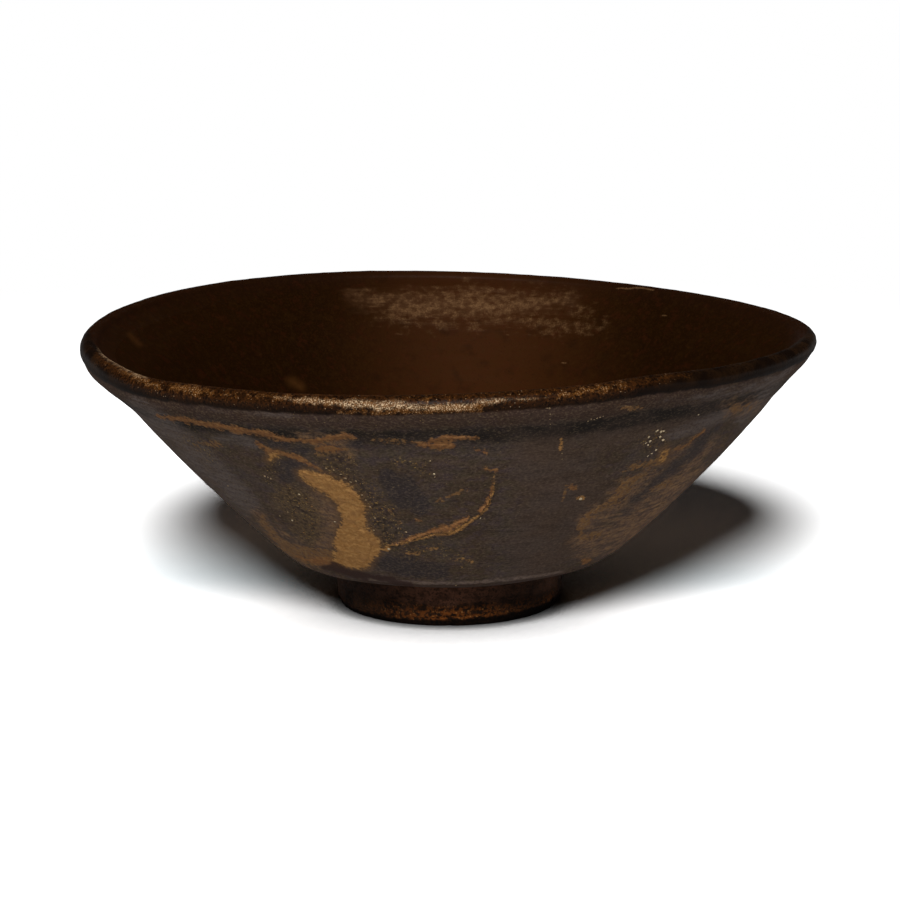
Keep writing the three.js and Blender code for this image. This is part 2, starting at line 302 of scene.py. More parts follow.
def bare_skin(along, angle, depth=0.0):
    """Points of the skin, or of a layer some depth under it, without relief"""
    radius = np.interp(along, SKIN_AT, SKIN[:, 0])
    height = np.interp(along, SKIN_AT, SKIN[:, 1])
    along_x = np.interp(along, SKIN_AT, SKIN_ALONG[:, 0])
    along_y = np.interp(along, SKIN_AT, SKIN_ALONG[:, 1])
    wander = GLAZE_LINE_WAVE * (1 + np.cos(GLAZE_LINE_WAVES * angle))
    wander = wander * np.clip(1 - along / GLAZE_LINE_REACH, 0, 1)
    offset = (height - SHOULDER[1]) / LIP_SWELLING_REACH
    outside = np.clip((INNER_START - along) / (INNER_START - LIP_END), 0, 1)
    swelling = LIP_SWELLING * np.cos(angle) * np.exp(-offset * offset) * outside
    radius = radius - along_y * depth - swelling + UNDERSIDE_DIRECTION[0] * wander
    height = height + along_x * depth + swelling + UNDERSIDE_DIRECTION[1] * wander
    return warped(radius, height, angle)


def unit(vectors):
    return vectors / np.linalg.norm(vectors, axis=-1)[..., None]


NORMAL_STEP = 0.15
NORMAL_TURN = 0.01


def bare_normal(along, angle):
    """Outward directions of the skin"""
    low = np.clip(along - NORMAL_STEP, 0, SKIN_END)
    high = np.clip(along + NORMAL_STEP, 0, SKIN_END)
    up = bare_skin(high, angle) - bare_skin(low, angle)
    round_axis = bare_skin(along, angle + NORMAL_TURN) - bare_skin(along, angle - NORMAL_TURN)
    normal = np.cross(round_axis, up)
    on_axis = np.linalg.norm(normal, axis=-1) < TINY
    return unit(np.where(on_axis[..., None], np.array([0.0, 0.0, 1.0]), normal))


# Search for the point of the outer skin under a pixel
FIRST_RADIUS = 58
FIRST_ALONG = 35.0
SEARCH_ROUNDS = 14
ALONG_STEP = 0.1
ANGLE_STEP = 0.001
MOST_ALONG = 8
MOST_ANGLE = 0.3
LEAST_ALONG = 2
SIDE_MARGIN = 0.05


def skin_under(pixels):
    """Distances along and angles of the outer skin's points that show at these pixels"""
    pixels = np.asarray(pixels, float)
    side = (pixels[..., 0] - CENTRE_PIXEL[0]) * VIEW_DISTANCE / FOCAL_PIXELS
    angle = -np.arccos(np.clip(side / FIRST_RADIUS, -0.97, 0.97))
    along = np.full(angle.shape, FIRST_ALONG)
    for _ in range(SEARCH_ROUNDS):
        here = picture(bare_skin(along, angle))
        by_along = (picture(bare_skin(along + ALONG_STEP, angle)) - here) / ALONG_STEP
        by_angle = (picture(bare_skin(along, angle + ANGLE_STEP)) - here) / ANGLE_STEP
        miss = pixels - here
        area = by_along[..., 0] * by_angle[..., 1] - by_along[..., 1] * by_angle[..., 0]
        along_step = (miss[..., 0] * by_angle[..., 1] - miss[..., 1] * by_angle[..., 0]) / area
        angle_step = (by_along[..., 0] * miss[..., 1] - by_along[..., 1] * miss[..., 0]) / area
        along = np.clip(along + np.clip(along_step, -MOST_ALONG, MOST_ALONG), LEAST_ALONG, LIP_START)
        angle = angle + np.clip(angle_step, -MOST_ANGLE, MOST_ANGLE)
        angle = np.clip(angle, -math.pi + SIDE_MARGIN, -SIDE_MARGIN)
    return along, angle


# Notches in the outline, as (across, down, depth), which show at the sides
NOTCHES = [(127, 407, 0.4), (212, 489, 0.3), (790, 381, 0.3), (776, 394, 0.3), (606, 560, 0.25)]
NOTCH_REACH = 1.4
NOTCH_TURNS = np.linspace(0.05, 0.45, 40)


def notch_places():
    places = []
    along = np.linspace(3, LIP_START, 200)
    for across, down, depth in NOTCHES:
        angles = NOTCH_TURNS - math.pi if across < CENTRE_PIXEL[0] else -NOTCH_TURNS
        grid = bare_skin(along[:, None], angles[None, :])
        miss = np.hypot(*np.moveaxis(picture(grid) - (across, down), -1, 0))
        places.append((grid[np.unravel_index(np.argmin(miss), miss.shape)], depth))
    return places


NOTCH_PLACES = notch_places()

# Relief, with raised marks as (height, size, seed). Turning marks run round the axis.
OUTER_WAVE = (0.09, 21, 11)
INNER_WAVE = (0.08, 17, 31)
LIP_WAVE = (0.05, 9, 41)
LIP_GRAIN = (0.035, 2.2, 42)
LIP_SUNK = 0.1
TURNING_RADIUS = 12
RINGS = (1, 2.3, 21)
NARROW_RINGS = (0.6, 1.1, 22)
FINE_RINGS = (1, 0.6, 23)
HEEL_FACETS = (0.13, 5, 24)
HEEL_AT = 9
HEEL_REACH = 4.5
BEAD_HEIGHT = 0.16
BEAD_AT = 1.1
BEAD_REACH = 0.9
THIN_EDGE = 0.22
THIN_EDGE_REACH = 0.7


def bump_at(along, middle, reach):
    return np.exp(-((along - middle) / reach) ** 2)


def relief(points, along, angle):
    """How far the surface stands out from the bare skin"""
    outside = 1 - fade(along, LIP_START - 1.5, LIP_START + 0.5)
    inside = fade(along, LIP_END - 0.5, INNER_START + 1)
    turning = np.stack([along, TURNING_RADIUS * np.cos(angle), TURNING_RADIUS * np.sin(angle)], axis=-1)
    rings = raised(turning * (1, 0.25, 0.25), RINGS) + raised(turning * (1, 0.5, 0.5), NARROW_RINGS)
    fine = raised(turning * (1, 1.5, 1.5), FINE_RINGS)
    facets = raised(turning * (0.6, 1.1, 1.1), HEEL_FACETS) * bump_at(along, HEEL_AT, HEEL_REACH)
    outer = raised(points, OUTER_WAVE) + 0.045 * rings + 0.018 * fine + facets
    outer = outer + BEAD_HEIGHT * bump_at(along, BEAD_AT, BEAD_REACH)
    outer = outer - THIN_EDGE * (1 - fade(along, 0, THIN_EDGE_REACH))
    inner = raised(points, INNER_WAVE) + 0.035 * rings + 0.012 * fine
    rolled = raised(points, LIP_WAVE) + raised(points, LIP_GRAIN, 2) - LIP_SUNK
    total = outside * outer + inside * inner + (1 - outside - inside) * rolled
    for place, depth in NOTCH_PLACES:
        total = total - depth * bump_at(np.linalg.norm(points - place, axis=-1), 0, NOTCH_REACH)
    return total * fade(SKIN_END - along, 0, 3)


def skin(along, angle, lift=0.0):
    """Points of the finished surface, raised along its own direction by a lift"""
    points = bare_skin(along, angle)
    rise = relief(points, along, angle) + lift
    return points + bare_normal(along, angle) * rise[..., None]


# Meshes
SHARP_ANGLE = 48


def round_steps(count, front_share):
    """Angles round the axis, closer together towards the front or the back"""
    even = np.linspace(-math.pi, math.pi, count, endpoint=False)
    return even - front_share * np.cos(even)


def mesh_object(name, points, faces, fields=None):
    mesh = bpy.data.meshes.new(name)
    mesh.from_pydata((points * MM).tolist(), [], faces)
    for field, values in (fields or {}).items():
        attribute = mesh.attributes.new(field, "FLOAT", "POINT")
        attribute.data.foreach_set("value", values.astype(np.float32))
    mesh.polygons.foreach_set("use_smooth", np.ones(len(mesh.polygons), bool))
    mesh.set_sharp_from_angle(angle=math.radians(SHARP_ANGLE))
    mesh.update()
    piece = bpy.data.objects.new(name, mesh)
    bpy.context.scene.collection.objects.link(piece)
    return piece


def turned_faces(rows):
    """Faces of a body turned round the axis, through rows of points that follow each other round
    its section. A row of one point lies on the axis."""
    starts = np.concatenate([[0], np.cumsum([len(row) for row in rows])])
    steps = max(len(row) for row in rows)
    here = np.arange(steps)
    beside = (here + 1) % steps
    faces = []
    for index, row in enumerate(rows):
        following = (index + 1) % len(rows)
        start = starts[index]
        end = starts[following]
        if len(row) == 1 and len(rows[following]) == 1:
            continue
        if len(row) == 1:
            faces += np.stack([here * 0 + start, end + beside, end + here], axis=-1).tolist()
        elif len(rows[following]) == 1:
            faces += np.stack([start + here, start + beside, here * 0 + end], axis=-1).tolist()
        else:
            corners = [start + here, start + beside, end + beside, end + here]
            faces += np.stack(corners, axis=-1).tolist()
    return faces


def finished(piece, paint, node):
    """Gives a piece its material, attaches it to the root body and hides the model's part that it stands
    for
    """
    piece.data.materials.append(paint)
    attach(piece, "root")
    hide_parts(node)


COAT_STEP = 0.3
EDGE_REACH = 2
POOL_START = -1
POOL_END = 3


def coat_depth(along):
    """Thickness of the glaze along the section"""
    past_outer = fade(along, LIP_START - COAT_STEP, LIP_START + COAT_STEP)
    inner = fade(along, INNER_START - COAT_STEP, INNER_START + COAT_STEP)
    lip = past_outer - inner
    well = SKIN_END - WELL_RADIUS
    pool = fade(along, well + POOL_START, well + POOL_END)
    outer_coat = OUTER_COAT + (EDGE_COAT - OUTER_COAT) * (1 - fade(along, 0, EDGE_REACH))
    inner_coat = INNER_COAT + (POOL_COAT - INNER_COAT) * pool
    return outer_coat * (1 - past_outer) + LIP_COAT * lip + inner_coat * inner


def coat_back(along, angle):
    return bare_skin(along, angle, coat_depth(along))


def section_row(along, angles, surface):
    """A row of points round the axis, or one where it meets the axis, with their distances along"""
    turn = angles[:1] if along >= SKIN_END else angles
    here = np.full(len(turn), along)
    return surface(here, turn), here


def coat_rows(stations, hidden, angles):
    """Rows of a coat: its finished face, then its back where it meets the clay"""
    pairs = [section_row(along, angles, skin) for along in stations]
    pairs += [section_row(along, angles, coat_back) for along in hidden]
    return [row for row, _ in pairs], np.concatenate([here for _, here in pairs])


# Where the marks are, as routes of (across, down, half width)
TAN_ROUTES = [
    [(301, 474, 3), (310, 478, 6), (324, 483, 9), (338, 490, 11), (348, 500, 12), (353, 510, 13)],
    [(353, 510, 13), (354, 518, 12), (349, 527, 10), (348, 537, 13), (349, 546, 16), (349, 551, 15)],
    [(360, 541, 13), (369, 546, 12), (364, 555, 10), (362, 561, 8)],
    [(340, 560, 6), (352, 561, 7)],
    [(270, 458, 1.2), (277, 455, 1.4)],
    [(664, 457, 2.6), (668, 452, 2.2)],
]
DAB_ROUTES = [
    [(380, 548, 0), (388, 549, 2.4)],
    [(396, 522, 0), (401, 522, 1)],
    [(406, 553, 0.4), (420, 553, 0.9)],
    [(427, 549, 0.4), (438, 548, 0.8)],
    [(452, 560, 0), (462, 559, 0.4), (472, 562, 0.4)],
    [(562, 440, 1.4), (562, 449, 1.6)],
    [(577, 498, 1), (581, 499, 2.2)],
    [(388, 547, 0.2), (404, 543, 0.8), (420, 539, 1), (437, 535.5, 1.2), (452, 531.5, 1.7)],
    [(452, 531.5, 1.7), (466, 526, 1.6), (477, 517.5, 1), (486, 508, 1), (493, 494, 0.7), (495, 474, -0.4)],
]
RUST_ROUTES = [
    [(158, 416, 1.4), (186, 420, 2.4), (214, 425, 2.8), (238, 430, 3), (262, 434, 2.8), (288, 440, 2.4)],
    [(288, 440, 2.2), (312, 442, 2.6), (328, 439, 3.2), (344, 436, 2.6), (356, 438, 1.2)],
    [(316, 450, 1.6), (326, 448, 3.4), (342, 449, 2)],
    [(256, 443, 1.2), (270, 452, 1.8), (284, 454, 2), (298, 458, 2.4), (311, 464, 2), (322, 470, 1)],
    [(418, 445.5, 2.6), (436, 445.5, 3.4), (454, 446, 2.8)],
    [(430, 441, 2), (443, 438, 3.6), (454, 438, 2), (478, 437, 0.8)],
    [(409, 443, 1.2), (417, 444, 1.8)],
    [(475, 449, 0.8), (488, 451, 1.4)],
    [(485, 469, 1), (497, 471, 1.6)],
    [(389, 511, 1), (393, 512, 1)],
    [(416, 519, 0.4), (421, 520, 0.6)],
    [(573, 487, 2.4), (576, 488, 2)],
    [(585, 562, 2.6), (590, 561, 2.2)],
    [(388, 546, 0.6), (404, 541, 1.8), (420, 535.5, 2.6), (440, 530, 3), (456, 525.5, 2.8), (468, 519, 2)],
    [(478, 511, 1.2), (487, 502, 2), (491, 494, 1.4), (493, 480, 0)],
    [(676, 450, 1), (690, 443, 1.2), (704, 430, 0.8)],
    [(296, 557, 0.4), (316, 561, 2.4), (336, 562, 3.4)],
]
STAIN_ROUTES = [
    [(197, 444, 1.8), (219, 444, 2.4)],
    [(620, 472, 0.6), (632, 468, 2.4), (644, 464, 3), (656, 462, 2.6), (667, 455, 2)],
    [(648, 472, 1.4), (634, 478, 3), (624, 488, 5), (619, 496, 5.5), (610, 502, 3.4)],
    [(610, 502, 3.4), (599, 509, 2.6), (588, 518, 3), (580, 530, 3), (584, 538, 2.4), (600, 536, 3)],
    [(732, 409, 2.6), (749, 406, 2.8)],
    [(618, 406, 0.8), (629, 409, 1.8), (640, 408, 1.6)],
    [(650, 491, 1), (671, 482, 1.2)],
    [(262, 520, 2), (276, 538, 4), (290, 550, 6), (308, 556, 8), (334, 559, 8)],
    [(438, 501, 0), (450, 496, 0.8), (468, 489, 0)],
    [(318, 452, 3), (346, 448, 2.4)],
    [(374, 440, 0.3), (391, 442, 0.7), (408, 443, 0.8)],
    [(569, 487, 1), (564, 500, 1)],
]
HAZE_ROUTES = [
    [(256, 514, 3), (285, 543, 7), (310, 556, 9), (345, 560, 10)],
    [(318, 498, 6), (332, 512, 8), (330, 530, 10), (322, 548, 10)],
    [(300, 438, 5), (340, 442, 8), (350, 452, 5)],
    [(584, 548, 6), (612, 538, 9), (642, 518, 10), (668, 492, 7), (694, 464, 4)],
    [(584, 524, 6), (604, 508, 7), (630, 484, 8), (656, 464, 6), (690, 444, 3)],
    [(728, 410, 5), (752, 405, 6)],
]
GRIT_ROUTES = [
    [(330, 470, 7), (352, 482, 10), (370, 500, 12), (380, 520, 12), (384, 540, 9)],
    [(392, 512, 6), (394, 532, 8)],
    [(320, 456, 5), (348, 462, 6)],
    [(398, 460, 3), (420, 468, 4)],
    [(404, 553, 4), (440, 548, 3), (466, 560, 3)],
    [(646, 446, 5), (658, 438, 6)],
    [(276, 462, 3), (268, 477, 3)],
    [(288, 494, 8), (304, 510, 12), (312, 530, 10)],
    [(186, 440, 3), (206, 446, 5), (214, 462, 3)],
]
SLATE_ROUTES = [
    [(272, 444, 4), (286, 444, 3.4)],
    [(296, 449, 3.4), (306, 451, 4.4)],
    [(280, 464, 6), (300, 467, 6), (288, 477, 7)],
    [(388, 478, 9), (402, 490, 16), (420, 504, 9)],
    [(376, 562, 5), (400, 565, 10), (440, 570, 9)],
    [(350, 443, 2.6), (362, 444, 2.6)],
    [(610, 518, -2), (626, 508, 2), (642, 496, 3), (664, 476, 4), (692, 452, 5), (716, 428, 3)],
]
OVAL_ROUTES = [
    [(290, 500, 16), (304, 510, 22), (310, 528, 18)],
]
BROWN_ROUTES = [
    [(584, 546, 10), (616, 532, 18), (654, 500, 18), (690, 468, 9), (716, 440, 2)],
]
CALM_ROUTES = [
    [(548, 452, 34), (566, 500, 44), (540, 550, 30)],
    [(600, 430, 24), (660, 424, 16), (700, 418, 12)],
]
# Lavender glaze, partly a painted sheen on the flanks and under the lip
LAVENDER_AND_SHEEN_ROUTES = [
    [(134, 400, 5), (150, 414, 8), (176, 434, 10), (214, 470, 12), (250, 506, 9)],
    [(668, 436, 3), (696, 426, 6), (728, 414, 4)],
    [(214, 438, 1), (236, 438, 5), (254, 444, 3)],
    [(210, 407, 0), (270, 415, 1), (330, 418, -2)],
    [(650, 404, -3), (690, 398, 0), (740, 391, 4), (774, 382, 6)],
    [(790, 366, 2), (770, 390, 4), (740, 420, 5)],
]
# Painted highlight along the heel's rounded edge
HEEL_HIGHLIGHT_ROUTES = [
    [(366, 576, 8), (400, 582, 10), (450, 586, 10), (520, 582, 10), (558, 576, 8)],
]
HEEL_DARK_ROUTES = [
    [(322, 567, 1), (332, 567, 4), (346, 571, 4), (366, 576, 3), (410, 584, 3)],
    [(556, 582, 3), (580, 572, 2)],
]
WHITE_CRUMBS = [
    (657, 431, 1.5), (661, 432, 1.7), (664, 431, 1.2), (660, 437, 1.5), (663, 440, 1.6),
    (649, 437, 1.3), (650, 441, 1.6), (648, 445, 1.0), (648, 456, 1.1), (652, 453.5, 0.9),
    (656, 450, 1.0), (646, 443, 0.8), (389, 549, 1.6), (581, 499, 1.8), (299, 494, 1.0),
    (292, 520, 1.0), (434, 474, 1.0), (335, 521.6, 0.9), (480.6, 518, 0.9), (698.6, 415, 0.9),
]
FAINT_CRUMBS = [
    (588, 421, 0.7), (591, 419, 0.9), (594, 419.5, 0.6), (597, 418, 0.8), (600, 417, 0.8),
    (603, 416, 0.6), (265, 476, 1.1), (268, 477, 0.8), (271, 478.5, 1.0), (298, 506, 0.8),
    (280, 516, 0.8), (288, 512, 0.8), (435, 477, 0.9), (406, 532, 1.0), (228, 486, 0.8),
    (456, 585, 0.8), (550, 392, 0.6), (550.5, 396, 0.5), (550, 400, 0.5), (550.6, 405, 0.6),
    (550, 409, 0.5), (550.3, 414, 0.6), (550, 419, 0.5), (550.4, 424, 0.5), (562, 453, 0.6),
    (562, 459, 0.6), (345, 478, 1.3), (334, 470, 1.0), (326, 468, 0.9), (341, 474, 1.0),
    (351, 482, 1.1), (356, 481, 1.0), (362, 495, 1.1), (370, 507, 1.1), (374, 530, 1.0),
    (366, 500, 0.9), (375, 518, 0.9), (430, 461, 0.9), (398, 528, 0.9), (410, 536, 0.8),
]
# The back's marks, where they would show through the front
BACK_TAN_ROUTES = [
    [(240, 470, 0), (262, 478, 3), (278, 492, 7), (282, 508, 4), (276, 520, 0)],
    [(530, 538, -1), (560, 524, 2), (584, 508, 0)],
    [(640, 420, 0), (668, 416, 3), (700, 410, 0)],
]
BACK_RUST_ROUTES = [
    [(190, 430, 0), (240, 440, 2), (300, 446, 1.4), (352, 444, -1)],
    [(400, 500, 0), (420, 508, 4), (446, 512, 6), (470, 506, 2)],
    [(560, 456, -1), (596, 462, 1), (630, 476, 4), (652, 492, 2)],
]
BACK_SLATE_ROUTES = [
    [(340, 500, 12), (372, 520, 18), (400, 530, 10)],
    [(560, 478, 3), (600, 482, 8), (640, 474, 3)],
]
# Marks of the lip and of the inside
LIP_GRIT_ROUTES = [
    [(88, 342, -4), (102, 360, 3), (130, 377, 9), (170, 390, 10), (250, 396, 11), (330, 402, 12)],
    [(330, 402, 12), (420, 405, 13), (500, 401, 12), (560, 395, 12), (610, 389, 10)],
    [(610, 389, 10), (650, 381, 4), (690, 374, 0)],
]
LIP_GOLD_ROUTES = [
    [(120, 370, 0), (140, 380, 1.4), (160, 388, 1)],
    [(174, 388, 2), (198, 390, 3), (212, 391, 0.6)],
    [(226, 394, -1), (262, 397, 0), (300, 400, 1), (336, 403, 2)],
    [(338, 411, 1), (380, 412, 1.6), (420, 411, 2), (446, 410, 4), (478, 408, 4)],
    [(560, 396, 1), (596, 389, 2), (624, 384, 0.8)],
    [(424, 399, 2.4), (427, 400, 2.4)],
]
# Painted highlight along the front of the lip's roll and on its crest at the left
LIP_HIGHLIGHT_ROUTES = [
    [(322, 402, 1), (350, 404, 3), (384, 405, 4), (412, 406, 3)],
    [(412, 406, 2.4), (436, 408, 2.8), (472, 407, 2.6)],
    [(478, 402, 1), (520, 400, -0.6), (550, 397, -1.5)],
    [(100, 348, 2), (112, 358, 3), (130, 370, 2.4), (146, 378, 1)],
    [(274, 398, 0), (300, 400, 0.8), (324, 402, 1.2)],
]
# The patch on the back wall, partly worn glaze and partly a painted highlight
PATCH_AND_HIGHLIGHT_ROUTES = [
    [(352, 296, 4), (384, 302, 10), (430, 306, 13), (476, 306, 13), (530, 304, 10), (574, 302, 6)],
]
WORN_AND_HIGHLIGHT_ROUTES = [
    [(366, 296, 0), (388, 302, 5), (414, 308, 9), (440, 305, 12), (472, 303, 14), (500, 305, 10)],
    [(500, 305, 10), (530, 301, 6), (566, 298, 3)],
    [(378, 318, 0), (400, 320, 2), (440, 321, 2), (474, 318, 1)],
    [(502, 318, 1), (530, 322, 3), (556, 328, 4), (590, 328, 2), (602, 324, 0)],
    [(578, 310, 1), (583, 310, 2), (588, 310, 1)],
    [(470, 327, 0.2), (473, 327, 1.2)],
]
RIM_LINE_ROUTES = [
    [(616, 288, 0.4), (654, 289, 0.6)],
    [(660, 316, 0.6), (668, 315, 0.6)],
    [(504, 332, 0.3), (511, 336, 0.4)],
    [(561, 362, 0.8), (566, 363, 1)],
]
SPOT_ROUTES = [
    [(292, 381, 3), (300, 386, 4)],
    [(130, 334, 0), (140, 344, 0)],
]
# Middle and half width, in pixels across, of the painted sheen inside the bowl
PAINTED_SHEEN_MIDDLE = 480
PAINTED_SHEEN_HALF_WIDTH = 120
NO_MARK = -20.0
WANDER = 1.6
WANDER_SIZE = 2.8
SIDE_FADE = 1.3
BACK_START = 6.0
FLARE_SHIFT = 3.4
FLARE_BACK = (-30, 12)
INNER_FRONT = -20


def wandering(points):
    """Pixels of the points, led astray a little so that the outlines of marks are uneven"""
    drift = np.stack([lumps(points, WANDER_SIZE, seed, 2) for seed in (101, 103)], axis=-1)
    return picture(points) + WANDER * drift


def marked(pixels, routes, past=0.0):
    """How far inside the routes each pixel lies, less where its point lies past the marks' side"""
    best = np.full(len(pixels), NO_MARK)
    for route in routes:
        for (x0, y0, w0), (x1, y1, w1) in zip(route[:-1], route[1:]):
            step = np.array([x1 - x0, y1 - y0], float)
            share = np.clip((pixels - (x0, y0)) @ step / max(step @ step, TINY), 0, 1)
            away = np.hypot(*(pixels - (x0, y0) - share[:, None] * step).T)
            best = np.maximum(best, w0 + (w1 - w0) * share - away)
    return np.maximum(best - SIDE_FADE * past, NO_MARK)


def outer_fields(points, distances):
    """Fields of the outer glaze, and of what lies on it"""
    folded = np.stack([points[:, 0], -np.abs(points[:, 1]), points[:, 2]], axis=-1)
    seen = wandering(folded)
    past_front = np.maximum(points[:, 1], 0)
    past_back = np.maximum(BACK_START - points[:, 1], 0)
    pairs = {
        "tan": (TAN_ROUTES, BACK_TAN_ROUTES),
        "dab": (DAB_ROUTES, []),
        "rust": (RUST_ROUTES, BACK_RUST_ROUTES),
        "stain": (STAIN_ROUTES, BACK_RUST_ROUTES),
        "haze": (HAZE_ROUTES, BACK_RUST_ROUTES),
        "grit": (GRIT_ROUTES, BACK_TAN_ROUTES),
        "slate": (SLATE_ROUTES, BACK_SLATE_ROUTES),
        "oval": (OVAL_ROUTES, BACK_SLATE_ROUTES),
        "brown": (BROWN_ROUTES, BACK_SLATE_ROUTES),
        "lavender": (LAVENDER_AND_SHEEN_ROUTES, []),
        "calm": (CALM_ROUTES, []),
        "heel_line": (HEEL_HIGHLIGHT_ROUTES, []),
        "heel_dark": (HEEL_DARK_ROUTES, []),
    }
    fields = {}
    for name, (routes, back_routes) in pairs.items():
        here = marked(seen, routes, past_front)
        there = marked(seen, back_routes, past_back)
        fields[name] = np.maximum(here, there)
    fields["roll"] = distances - LIP_START
    fields["along"] = distances
    return fields


def flare(points, distances):
    """Distance past the line where the inner glaze starts, which lies on the crest at the back"""
    return distances - LIP_END + FLARE_SHIFT * fade(points[:, 1], *FLARE_BACK)


def lip_fields(points, distances):
    past = np.maximum(points[:, 1], 0)
    names = {"lip_grit": LIP_GRIT_ROUTES, "gold": LIP_GOLD_ROUTES, "frost": LIP_HIGHLIGHT_ROUTES}
    seen = wandering(points)
    fields = {name: marked(seen, routes, past) for name, routes in names.items()}
    fields["roll"] = distances - LIP_START
    fields["flare"] = flare(points, distances)
    return fields


def inner_fields(points, distances):
    past = np.maximum(INNER_FRONT - points[:, 1], 0)
    names = {
        "patch": PATCH_AND_HIGHLIGHT_ROUTES,
        "worn": WORN_AND_HIGHLIGHT_ROUTES,
        "rim_line": RIM_LINE_ROUTES,
        "spot": SPOT_ROUTES,
    }
    seen = wandering(points)
    fields = {name: marked(seen, routes, past) for name, routes in names.items()}
    # How near each point lies to the middle of the painted sheen
    fields["glow"] = PAINTED_SHEEN_HALF_WIDTH - np.abs(seen[:, 0] - PAINTED_SHEEN_MIDDLE)
    fields["flare"] = flare(points, distances)
    return fields


# Materials
def linear(red, green, blue):
    """A colour given as it would show on a screen, from 0 to 255, as light"""
    def light(value):
        share = value / 255
        return share / 12.92 if share <= 0.04045 else ((share + 0.055) / 1.055) ** 2.4
    return (light(red), light(green), light(blue), 1)


def grey(level):
    return (level, level, level, 1)


EVEN = (1, 1, 1)
SEED_SHIFTS = (17.3, 7.1, 11.9)


class Paint:
    """Builds the nodes of one material, or of the world. Sizes are in millimetres."""

    def __init__(self, owner):
        self.owner = owner
        owner.use_nodes = True
        self.tree = owner.node_tree
        self.tree.nodes.clear()
        self.place = self.node("TexCoord", {}, "Object")
        self.colour = grey(0.0)

    def node(self, kind, inputs, result=0, **settings):
        """One output of a new node, whose inputs are sockets to link or plain values to set"""
        node = self.tree.nodes.new("ShaderNode" + kind)
        for name, value in settings.items():
            setattr(node, name, value)
        for name, value in inputs.items():
            if isinstance(value, bpy.types.NodeSocket):
                self.tree.links.new(value, node.inputs[name])
            else:
                node.inputs[name].default_value = value
        return node.outputs[result]

    def placed(self, stretch, seed):
        scale = [part / MM for part in stretch]
        shift = [seed * step for step in SEED_SHIFTS]
        return self.node("Mapping", {"Vector": self.place, "Scale": scale, "Location": shift})

    def noise(self, size, seed, detail=2, stretch=EVEN, roughness=0.5):
        inputs = {"Vector": self.placed(stretch, seed), "Scale": 1 / size}
        inputs.update({"Detail": detail, "Roughness": roughness})
        return self.node("TexNoise", inputs, "Fac")

    def grains(self, size, seed):
        """Distance from the middle of the nearest grain, and a random number for each grain"""
        inputs = {"Vector": self.placed(EVEN, seed), "Scale": 1 / size}
        distance = self.node("TexVoronoi", inputs, "Distance")
        colour = distance.node.outputs["Color"]
        return distance, self.node("SeparateColor", {"Color": colour}, "Red")

    def field(self, name):
        return self.node("Attribute", {}, "Fac", attribute_name=name)

    def ray(self, kind):
        return self.node("LightPath", {}, kind)

    def ramp(self, value, low, high, start=0.0, end=1.0):
        inputs = {"Value": value, "From Min": low, "From Max": high, "To Min": start, "To Max": end}
        return self.node("MapRange", inputs, "Result", interpolation_type="SMOOTHSTEP")

    def math(self, operation, *values):
        return self.node("Math", dict(enumerate(values)), operation=operation)

    def times(self, first, *others):
        for other in others:
            first = self.math("MULTIPLY", first, other)
        return first

    def plus(self, first, *others):
        for other in others:
            first = self.math("ADD", first, other)
        return first

    def swung(self, noise, amount):
        """A noise round 0 instead of a half, times an amount"""
        return self.math("MULTIPLY_ADD", noise, amount, -amount / 2)

    def mix(self, share, first, second, how="MIX"):
        inputs = {0: share, 6: first, 7: second}
        return self.node("Mix", inputs, 2, data_type="RGBA", blend_type=how)

    def blend(self, share, first, second):
        return self.node("Mix", {0: share, 2: first, 3: second}, data_type="FLOAT")

    def over(self, tint, *shares):
        """Lays a tint over the colour so far, by the product of its shares"""
        self.colour = self.mix(self.times(*shares), self.colour, tint)

    def ragged(self, field, noises, soft=1.5, shift=0.0):
        """The share of a mark whose edge is frayed by noises, given as (noise, pixels)"""
        value = self.field(field)
        for noise, amount in noises:
            value = self.plus(value, self.swung(noise, amount))
        return self.ramp(value, shift - soft, shift + soft)

    def shown(self):
        """1 for what the camera sees itself, in a gloss or through glass, and 0 for other light"""
        seen = self.math("MAXIMUM", self.ray("Is Camera Ray"), self.ray("Is Glossy Ray"))
        return self.math("MAXIMUM", seen, self.ray("Is Transmission Ray"))

    def ended(self, shader, kind="Material"):
        output = self.tree.nodes.new("ShaderNodeOutput" + kind)
        self.tree.links.new(shader, output.inputs["Surface"])
        return self.owner

    def done(self, look, specular=0.0, gloss=0.0):
        """Joins a look of colour, roughness and height in millimetres to the surface. The gloss is
        a thin coat, which stays weak where the surface turns away."""
        colour, roughness, height = look
        normal = self.node("Bump", {"Distance": MM, "Height": height}, "Normal")
        inputs = {"Base Color": colour, "Roughness": roughness, "Specular IOR Level": specular}
        inputs.update({"Coat Weight": gloss, "Coat Roughness": roughness})
        inputs.update({"Normal": normal, "Coat Normal": normal})
        return self.ended(self.node("BsdfPrincipled", inputs, "BSDF"))


def new_paint(name):
    return Paint(bpy.data.materials.new(name))


GLAZE_BROWN = linear(65, 51, 40)
GLAZE_GREY = linear(66, 56, 50)
GLAZE_DARK = linear(33, 24, 18)
GLAZE_PALE = linear(104, 88, 70)
GLAZE_SLATE = linear(46, 40, 41)
GLAZE_MAUVE = linear(73, 58, 50)
BAND_MAUVE = linear(52, 36, 28)
BAND_BLUE = linear(23, 19, 17)
OVAL_OLIVE = linear(82, 65, 47)
# Lavender glaze, also the colour of the painted sheen
LAVENDER_AND_SHEEN = linear(92, 82, 78)
EARTH_DARK = linear(92, 71, 58)
EARTH_PALE = linear(128, 97, 68)
TAN = linear(140, 100, 56)
TAN_PALE = linear(158, 118, 70)
RUST = linear(114, 76, 44)
RUST_PALE = linear(131, 94, 57)
STAIN = linear(104, 75, 47)
GRIT_OLIVE = linear(112, 88, 50)
GRIT_PALE = linear(140, 116, 74)
FLECK_PALE = linear(168, 150, 122)
